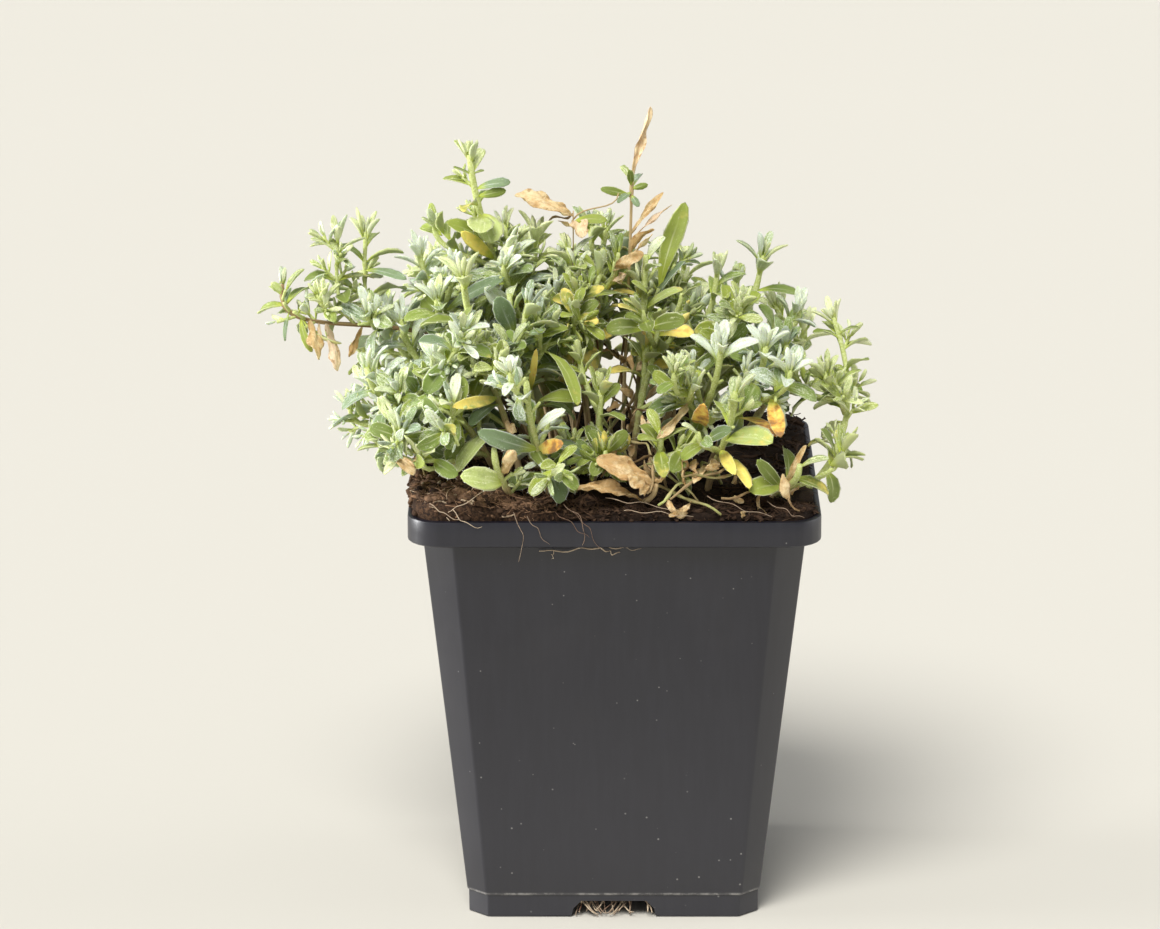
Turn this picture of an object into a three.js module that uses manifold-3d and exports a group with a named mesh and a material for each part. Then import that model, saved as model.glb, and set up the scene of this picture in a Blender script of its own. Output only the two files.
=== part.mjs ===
// Snow-in-summer, Cerastium tomentosum, grown in a square black nursery pot.
// Millimetres, +Z up, the foot of the pot at z = 0. Points are given from the
// pot's own axis, and the whole part is shifted at the end so that its box is
// centred on the Z axis. The front of the plant faces -Y.
import * as THREE from 'three';
import { mergeVertices } from 'three/addons/utils/BufferGeometryUtils.js';
import Module from 'manifold-3d';

const wasm = await Module();
wasm.setup();

const UP = new THREE.Vector3(0, 0, 1);
const DEG = Math.PI / 180;
const GAP = 0.3;

// Pot, a 9 x 9 x 9.5 cm moulded nursery pot with cut corners
const POT_HEIGHT = 95;
const RIM_HALF = 45;
const RIM_HEIGHT = 5.8;
const RIM_CORNER = 7.5;
const RIM_EASE = 0.4;
const SHOULDER = POT_HEIGHT - RIM_HEIGHT;
const SHOULDER_HALF = 41.8;
const SHOULDER_CUT = 6.7;
const SHOULDER_STEP = 0.3;
const INNER_STEP = 1.2;
const LEDGE_Z = 5.2;
const LEDGE_HALF = 32.6;
const LEDGE_CUT = 4.3;
const LEDGE_STEP = 0.35;
const FOOT_HALF = 32.2;
const WALL = 1.1;
const FOOT_WALL = 1.8;
const FLOOR_Z = 3.9;
const FLOOR = 1.2;
const RING_SIDES = 16;

// The foot's cut-outs, one in the middle of each side, and the drain holes
const NOTCH_HALF = 9.4;
const NOTCH_HEIGHT = 3.8;
const NOTCH_SHOULDER = 1.8;
const NOTCH_TAPER = 0.4;
const DRAIN_RADIUS = 3.5;
const DRAIN_SIDES = 6;
const DRAIN_PLACE = 17;
const BEYOND = 2;

// Soil, a heaped root ball that stands a little above the rim
const SOIL_SIDES = 24;
const SOIL_LEVEL = 96;
const SOIL_HEAP = 3;
const SOIL_EDGE = 0.4;
const SOIL_SHELF = 1.6;
const HEAP = { rise: 5.2, x: -40, y: -22, width: 400, depth: 650 };
const CLUMP = { rise: 0.6, x: 0.31, y: 0.27, phase: 1 };
const INNER_RINGS = [{ half: 35, cut: 9 }, { half: 20, cut: 9 }];
const HOLE_DEPTH = 5;
const HOLE_CLEAR = 0.45;
const HOLE_MOUTH = 1.4;

// Stems
const STEM_SIDES = 4;
const STEM_STEP = 10;
const STEM_ROOT = 1.15;
const STEM_TIP = 0.82;
const BRANCH_ROOT = 0.92;
const TWIG_ROOT = 0.8;
const BEND = 0.38;

// Leaves: SMALL and GROWN hold the shares of the length at which a blade has a
// row of points
const KEEL = 0.85;
const FOOT_SUNK = 0.5;
const SMALL = [0, 0.14, 0.62, 1];
const GROWN = [0, 0.12, 0.42, 0.76, 1];
const GROWN_FROM = 10.8;
const LEAF_RATIO = 0.48;
const LEAF_GROWN = 1.12;

// How the pairs change from the tip of a shoot downwards, in millimetres,
// degrees and shares of the grown size
const FIRST_PAIR = 1.7;
const OPENING = { tip: 22, step: 12, most: 78 };
const ARCHING = { tip: 30, step: 9 };
const GROWING = { tip: 0.7, step: 0.12 };
const SPACING = { tip: 0.5, step: 0.17 };

// Room that a leaf keeps to other stems and leaves, and to the far parts of
// the leaves of its own stem
const STEM_CLEAR = 2;
const CLEAR = 1.95;
const SELF_CLEAR = 1.3;
const OUTER = 6;
const SOIL_CLEAR = 1.3;
const RIM_CLEAR = 1.4;

// A repeatable draw between two bounds
function makeDraw(seed) {
  let state = seed;
  return (low, high) => {
    state = (state * 16807) % 2147483647;
    return low + (high - low) * (state / 2147483647);
  };
}

function solid(geometry) {
  const bare = geometry.clone();
  bare.deleteAttribute('normal');
  bare.deleteAttribute('uv');
  const merged = mergeVertices(bare, 1e-5);
  return new wasm.Manifold(new wasm.Mesh({
    numProp: 3,
    vertProperties: new Float32Array(merged.attributes.position.array),
    triVerts: new Uint32Array(merged.index.array),
  }));
}

function geometryOf(body) {
  const mesh = body.getMesh();
  const geometry = new THREE.BufferGeometry();
  geometry.setAttribute('position', new THREE.BufferAttribute(new Float32Array(mesh.vertProperties), 3));
  geometry.setIndex(new THREE.BufferAttribute(new Uint32Array(mesh.triVerts), 1));
  geometry.computeVertexNormals();
  return geometry;
}

// A cylinder whose points are moved by place(column, row, centre): column
// counts round it, row counts up it, and centre marks the middle of an end
function bent(sides, rows, place) {
  const geometry = new THREE.CylinderGeometry(1, 1, 1, sides, rows);
  const at = geometry.attributes.position;
  for (let i = 0; i < at.count; i += 1) {
    const turn = Math.atan2(at.getX(i), at.getZ(i)) / (2 * Math.PI);
    const column = (Math.round(turn * sides) + sides) % sides;
    const row = Math.round((at.getY(i) + 0.5) * rows);
    const centre = Math.hypot(at.getX(i), at.getZ(i)) < 0.5;
    const point = place(column, row, centre);
    at.setXYZ(i, point.x, point.y, point.z);
  }
  return geometry;
}

// A corner point is turned on to the quarter of the outline that it belongs to
function quarterPoint(x, y, quarter) {
  return new THREE.Vector2(x, y).rotateAround(new THREE.Vector2(), quarter * Math.PI / 2);
}

// Square with cut corners whose edges are eased, four points a corner
function cutSquare(column, half, cut) {
  const step = column % 4;
  const ease = cut * 0.18;
  const slip = ease * 0.6;
  const x = [half, half - slip, half - cut + ease, half - cut - ease][step];
  const y = [half - cut - ease, half - cut + ease, half - slip, half][step];
  return quarterPoint(x, y, Math.floor(column / 4));
}

// Square with round corners, four points a corner
function roundSquare(column, half, radius) {
  const turn = (column % 4) * Math.PI / 6;
  const x = half - radius + radius * Math.cos(turn);
  const y = half - radius + radius * Math.sin(turn);
  return quarterPoint(x, y, Math.floor(column / 4));
}

// Closed body on a stack of outlines, each with its height
function stack(levels) {
  return solid(bent(RING_SIDES, levels.length - 1, (column, row, centre) => {
    const level = levels[row];
    const flat = centre ? new THREE.Vector2() : level.outline(column);
    return new THREE.Vector3(flat.x, flat.y, level.z);
  }));
}

// Outline of the tapered wall at height z, moved inwards by inset
function wallAt(z, inset) {
  const share = (z - LEDGE_Z) / (SHOULDER - LEDGE_Z);
  const half = LEDGE_HALF + (SHOULDER_HALF - LEDGE_HALF) * share - inset;
  const cut = LEDGE_CUT + (SHOULDER_CUT - LEDGE_CUT) * share - inset * 0.4;
  return { z, outline: (column) => cutSquare(column, half, cut) };
}

function footAt(z, half) {
  return { z, outline: (column) => cutSquare(column, half, LEDGE_CUT) };
}

function rimAt(z, inset) {
  return { z, outline: (column) => roundSquare(column, RIM_HALF - inset, RIM_CORNER - inset * 0.75) };
}

// Arched cut through the foot from front to back
function makeNotch() {
  const arch = new THREE.Shape();
  arch.moveTo(-NOTCH_HALF, -BEYOND);
  arch.lineTo(NOTCH_HALF, -BEYOND);
  arch.lineTo(NOTCH_HALF - NOTCH_TAPER, NOTCH_HEIGHT - NOTCH_SHOULDER);
  arch.lineTo(NOTCH_HALF - NOTCH_SHOULDER - NOTCH_TAPER, NOTCH_HEIGHT);
  arch.lineTo(NOTCH_SHOULDER + NOTCH_TAPER - NOTCH_HALF, NOTCH_HEIGHT);
  arch.lineTo(NOTCH_TAPER - NOTCH_HALF, NOTCH_HEIGHT - NOTCH_SHOULDER);
  const notch = new THREE.ExtrudeGeometry(arch, { depth: 2 * RIM_HALF, bevelEnabled: false });
  notch.translate(0, 0, -RIM_HALF);
  notch.rotateX(Math.PI / 2);
  return notch;
}

function makeDrain(x, y) {
  const drain = new THREE.CylinderGeometry(DRAIN_RADIUS, DRAIN_RADIUS, 3 * FLOOR, DRAIN_SIDES);
  drain.rotateX(Math.PI / 2);
  drain.translate(x, y, FLOOR_Z + FLOOR / 2);
  return drain;
}

function makePot() {
  const outer = stack([
    footAt(0, FOOT_HALF),
    footAt(LEDGE_Z, LEDGE_HALF - LEDGE_STEP),
    wallAt(LEDGE_Z + LEDGE_STEP, 0),
    wallAt(SHOULDER, 0),
    rimAt(SHOULDER + SHOULDER_STEP, 0),
    rimAt(POT_HEIGHT - RIM_EASE, 0),
    rimAt(POT_HEIGHT, RIM_EASE),
  ]);
  const inner = stack([
    wallAt(FLOOR_Z + FLOOR, WALL),
    wallAt(SHOULDER - RIM_EASE, WALL),
    rimAt(SHOULDER - RIM_EASE + INNER_STEP, WALL + RIM_EASE),
    rimAt(POT_HEIGHT + BEYOND, WALL + RIM_EASE),
  ]);
  const under = stack([
    footAt(-BEYOND, FOOT_HALF - FOOT_WALL),
    footAt(FLOOR_Z, FOOT_HALF - FOOT_WALL),
  ]);
  let pot = outer.subtract(inner).subtract(under);
  pot = pot.subtract(solid(makeNotch())).subtract(solid(makeNotch().rotateZ(Math.PI / 2)));
  for (const x of [-DRAIN_PLACE, DRAIN_PLACE]) {
    for (const y of [-DRAIN_PLACE, DRAIN_PLACE]) {
      pot = pot.subtract(solid(makeDrain(x, y)));
    }
  }
  return pot;
}

// Height of the soil: highest in the middle, with a heap at the front left and
// a few clumps
function soilTop(x, y) {
  const reach = Math.max(Math.abs(x), Math.abs(y)) / RIM_HALF;
  const middle = SOIL_HEAP * (1 - reach * reach);
  const away = (x - HEAP.x) ** 2 / HEAP.width + (y - HEAP.y) ** 2 / HEAP.depth;
  const clumps = CLUMP.rise * Math.sin(x * CLUMP.x + CLUMP.phase) * Math.cos(y * CLUMP.y);
  return SOIL_LEVEL + middle + HEAP.rise * Math.exp(-away) + clumps;
}

// Soil outline: six points a quarter, three on the corner and three along the
// side, the corner either round or cut straight
function soilOutline(column, half, corner, round) {
  const step = column % 6;
  const inner = half - corner;
  const middle = inner + corner * (round ? Math.SQRT1_2 : 0.5);
  const x = [half, middle, inner, inner / 2, 0, -inner / 2][step];
  const y = [inner, middle, half, half, half, half][step];
  return quarterPoint(x, y, Math.floor(column / 6));
}

function makeSoil(cutters) {
  const free = WALL + 2 * GAP;
  const rimFree = free + RIM_EASE / 2;
  const rows = [
    { z: FLOOR_Z + FLOOR + GAP, half: LEDGE_HALF - free, cut: LEDGE_CUT },
    { z: SHOULDER - GAP - RIM_EASE, half: SHOULDER_HALF - free - GAP, cut: SHOULDER_CUT },
    { z: SHOULDER + SOIL_SHELF, half: RIM_HALF - rimFree, cut: RIM_CORNER, round: true },
    { z: POT_HEIGHT - GAP, half: RIM_HALF - rimFree, cut: RIM_CORNER, round: true },
    { half: RIM_HALF - rimFree - SOIL_EDGE, cut: RIM_CORNER, round: true },
    ...INNER_RINGS.map((ring) => ({ ...ring, round: true })),
  ];
  let soil = solid(bent(SOIL_SIDES, rows.length - 1, (column, row, centre) => {
    const level = rows[row];
    const flat = centre ? new THREE.Vector2() : soilOutline(column, level.half, level.cut, level.round);
    return new THREE.Vector3(flat.x, flat.y, level.z ?? soilTop(flat.x, flat.y));
  }));
  for (const cutter of cutters) {
    soil = soil.subtract(solid(cutter));
  }
  return soil;
}

// A shoot's run is one cubic curve from its foot to its tip
function shootCurve(foot, tip, start, lean, via) {
  if (via) {
    return new THREE.CubicBezierCurve3(foot, ...via.map((p) => new THREE.Vector3(...p)), tip);
  }
  const reach = foot.distanceTo(tip) * BEND;
  const first = foot.clone().addScaledVector(start, reach);
  const second = tip.clone().addScaledVector(lean, -reach);
  return new THREE.CubicBezierCurve3(foot, first, second, tip);
}

function curveLength(curve) {
  const chords = 16;
  let sum = 0;
  for (let i = 0; i < chords; i += 1) {
    sum += curve.getPoint(i / chords).distanceTo(curve.getPoint((i + 1) / chords));
  }
  return sum;
}

// A stem runs straight between a few points of its curve, and the leaves start
// on that run
function stemRows(curve) {
  return Math.max(2, Math.round(curveLength(curve) / STEM_STEP));
}

function stemPoint(curve, t) {
  const rows = stemRows(curve);
  const row = Math.min(rows - 1, Math.floor(t * rows));
  return curve.getPoint(row / rows).lerp(curve.getPoint((row + 1) / rows), t * rows - row);
}

// The turn that lays the Z axis along a curve
function layAlong(curve, t) {
  return new THREE.Quaternion().setFromUnitVectors(UP, curve.getTangent(t));
}

// Point on the skin of a stem, or on its middle line where reach is 0
function skinPoint(shoot, t, column, reach) {
  const turn = ((column + 0.5) / STEM_SIDES) * 2 * Math.PI + shoot.yaw * DEG;
  const out = new THREE.Vector3(Math.cos(turn) * reach, Math.sin(turn) * reach, 0);
  return shoot.curve.getPoint(t).add(out.applyQuaternion(layAlong(shoot.curve, t)));
}

// A four-sided stem that tapers along its curve
function stemGeometry(shoot, low) {
  const rows = stemRows(shoot.curve);
  return bent(STEM_SIDES, rows, (column, row, centre) => {
    const share = row / rows;
    return skinPoint(shoot, share, column, centre ? 0 : low + (STEM_TIP - low) * share);
  });
}

// The plain hole that a stem stands in: the stem's own run, wider by a gap,
// from just below its foot to where it is clear of the soil
function holeGeometry(shoot, low) {
  const all = stemRows(shoot.curve);
  let rows = 1;
  for (; rows < all; rows += 1) {
    const p = shoot.curve.getPoint(rows / all);
    if (p.z > soilTop(p.x, p.y) + HOLE_MOUTH) {
      break;
    }
  }
  return bent(STEM_SIDES, rows, (column, row, centre) => {
    const point = skinPoint(shoot, row / all, column, centre ? 0 : low + HOLE_CLEAR);
    return row === 0 ? point.addScaledVector(UP, -GAP) : point;
  });
}

// Half-width share of a leaf along its length: narrow at the stem, widest past
// the middle, blunt at the tip
function leafWidth(t) {
  return Math.sin(0.6 * Math.PI * t) ** 0.9 * Math.sqrt(Math.max(0, 1 - t ** 7));
}

// Depth of the keel: slim where the leaf leaves the stem
function keelDepth(t) {
  return KEEL * Math.min(1, 0.5 + 1.4 * t) * (1 - 0.2 * t);
}

// Point on a leaf at share t of its length, across from -1 to 1, sunk below
// its upper face: the middle line is an arc that bows away from the face
function leafPoint(leaf, t, across, sunk) {
  const angle = leaf.arch * t;
  const run = (Math.sin(angle) / leaf.arch) * leaf.length;
  const drop = ((1 - Math.cos(angle)) / leaf.arch) * leaf.length;
  const face = leaf.face.clone().multiplyScalar(Math.cos(angle)).addScaledVector(leaf.along, Math.sin(angle));
  return leaf.foot.clone()
    .addScaledVector(leaf.along, run)
    .addScaledVector(leaf.face, -drop)
    .addScaledVector(leaf.side, across * leaf.half * leafWidth(t))
    .addScaledVector(face, -sunk);
}

// A three-sided blade: a left edge, a right edge and a keel under the midrib,
// pointed at both ends, with its foot sunk in the stem
function leafGeometry(leaf) {
  const rows = leaf.stations.length - 1;
  const geometry = new THREE.SphereGeometry(1, 3, rows);
  const at = geometry.attributes.position;
  for (let i = 0; i < at.count; i += 1) {
    const row = rows - Math.round((Math.acos(at.getY(i)) / Math.PI) * rows);
    const column = Math.round((Math.atan2(at.getZ(i), -at.getX(i)) / (2 * Math.PI)) * 3);
    const t = leaf.stations[row];
    const pole = row === 0 || row === rows;
    const point = leafPoint(leaf, t, pole ? 0 : column, !pole && column === 0 ? keelDepth(t) : 0);
    at.setXYZ(i, point.x, point.y, point.z);
  }
  return geometry;
}

// Points that stand for a leaf when its distance to others is measured
function leafSamples(leaf) {
  const points = [];
  for (let i = 1; i <= 7; i += 1) {
    for (const across of [-0.9, 0, 0.9]) {
      points.push(leafPoint(leaf, i / 7, across, KEEL * 0.4));
    }
  }
  return points;
}

function curveSamples(curve) {
  const count = Math.ceil(curveLength(curve) / 1.5);
  const points = [];
  for (let i = 0; i <= count; i += 1) {
    points.push(curve.getPoint(i / count));
  }
  return points;
}

// What stands in the way: stem points and leaf points, each with its node
const taken = { stems: [], leaves: [] };

function overGround(p) {
  const reach = Math.max(Math.abs(p.x), Math.abs(p.y));
  return reach > RIM_HALF + RIM_CLEAR || p.z > Math.max(soilTop(p.x, p.y), POT_HEIGHT) + SOIL_CLEAR;
}

// Two leaves of one stem may cross near the stem, but not in their outer parts
function touches(p, outer, other, node) {
  const away = other.p.distanceTo(p);
  return other.node === node ? outer && other.outer && away < SELF_CLEAR : away < CLEAR;
}

function isClear(samples, node) {
  return samples.every((p, k) => overGround(p)
    && !taken.stems.some((other) => other.node !== node && other.p.distanceTo(p) < STEM_CLEAR)
    && !taken.leaves.some((other) => touches(p, k >= OUTER, other, node)));
}

function claim(samples, node) {
  samples.forEach((p, k) => taken.leaves.push({ p, node, outer: k >= OUTER }));
}

// Other ways to turn a leaf that would touch its neighbours, as yaw and pitch
// in degrees and a share of its length
const WAYS = [
  [0, 0, 1], [20, 0, 1], [-20, 0, 1], [0, 16, 1], [0, -16, 1], [34, 8, 1], [-34, 8, 1],
  [20, -14, 0.9], [-20, -14, 0.9], [0, 26, 0.85], [0, 0, 0.78], [26, 10, 0.72], [-26, 10, 0.72],
];

// One leaf of a pair: it leaves the shoot's axis on the side that around
// names, leaning out by down, both in degrees
function pairLeaf(shoot, t, around, down, roll) {
  const lay = layAlong(shoot.curve, t);
  const axis = UP.clone().applyQuaternion(lay);
  const out = new THREE.Vector3(Math.cos(around * DEG), Math.sin(around * DEG), 0).applyQuaternion(lay);
  const rise = Math.cos(down * DEG);
  const spread = Math.sin(down * DEG);
  const along = axis.clone().multiplyScalar(rise).addScaledVector(out, spread);
  const face = axis.clone().multiplyScalar(spread).addScaledVector(out, -rise);
  face.applyAxisAngle(along, roll * DEG);
  const side = new THREE.Vector3().crossVectors(face, along);
  const sunk = Math.max(0, STEM_TIP * Math.SQRT1_2 - FOOT_SUNK * spread);
  const foot = stemPoint(shoot.curve, t).addScaledVector(out, sunk);
  return { foot, along, face, side };
}

// Leaf pairs of a shoot, crossing each other, upright and small at the tip,
// larger and more open below
function pairLeaves(shoot, node, draw) {
  const leaves = [];
  const length = curveLength(shoot.curve);
  let below = FIRST_PAIR;
  for (let pair = 0; pair < shoot.pairs; pair += 1) {
    const t = 1 - below / length;
    if (t < shoot.bare) {
      break;
    }
    const size = shoot.leaf * Math.min(1, GROWING.tip + GROWING.step * pair);
    const open = Math.min(OPENING.most, OPENING.tip + OPENING.step * pair) + shoot.open;
    const half = 0.5 * LEAF_RATIO * size;
    const stations = pair < 2 || size < GROWN_FROM ? SMALL : GROWN;
    for (let twin = 0; twin < 2; twin += 1) {
      const yaw = shoot.yaw + 90 * pair + 180 * twin + draw(-13, 13);
      const pitch = open + draw(-8, 8);
      const span = size * draw(0.88, 1.1);
      const arch = (ARCHING.tip + ARCHING.step * pair + draw(-8, 14)) * DEG;
      const roll = draw(-22, 22);
      for (const [turn, tilt, share] of WAYS) {
        const lie = pairLeaf(shoot, t, yaw + turn, pitch + tilt, roll);
        const leaf = { ...lie, arch, half, stations, length: span * share };
        const samples = leafSamples(leaf);
        if (isClear(samples, node)) {
          claim(samples, node);
          leaves.push(leaf);
          break;
        }
      }
    }
    below += shoot.gap * Math.min(1, SPACING.tip + SPACING.step * pair);
  }
  return leaves;
}

// A single leaf that is placed by its own tip
function ownLeaf(own, shoots, node) {
  const foot = stemPoint(shoots[own.on ?? 0].curve, own.t);
  const chord = new THREE.Vector3(...own.to).sub(foot);
  const arch = (own.arch ?? 35) * DEG;
  const length = (chord.length() * arch) / 2 / Math.sin(arch / 2);
  chord.normalize();
  const flat = new THREE.Vector3().crossVectors(UP, chord).normalize();
  const top = new THREE.Vector3().crossVectors(chord, flat).applyAxisAngle(chord, (own.roll ?? 0) * DEG);
  const along = chord.clone().multiplyScalar(Math.cos(arch / 2)).addScaledVector(top, Math.sin(arch / 2));
  const face = top.clone().multiplyScalar(Math.cos(arch / 2)).addScaledVector(chord, -Math.sin(arch / 2));
  const side = new THREE.Vector3().crossVectors(face, along);
  const leaf = { foot, along, face, side, arch, length, half: own.wide / 2, stations: GROWN };
  claim(leafSamples(leaf), node);
  return leaf;
}

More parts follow.
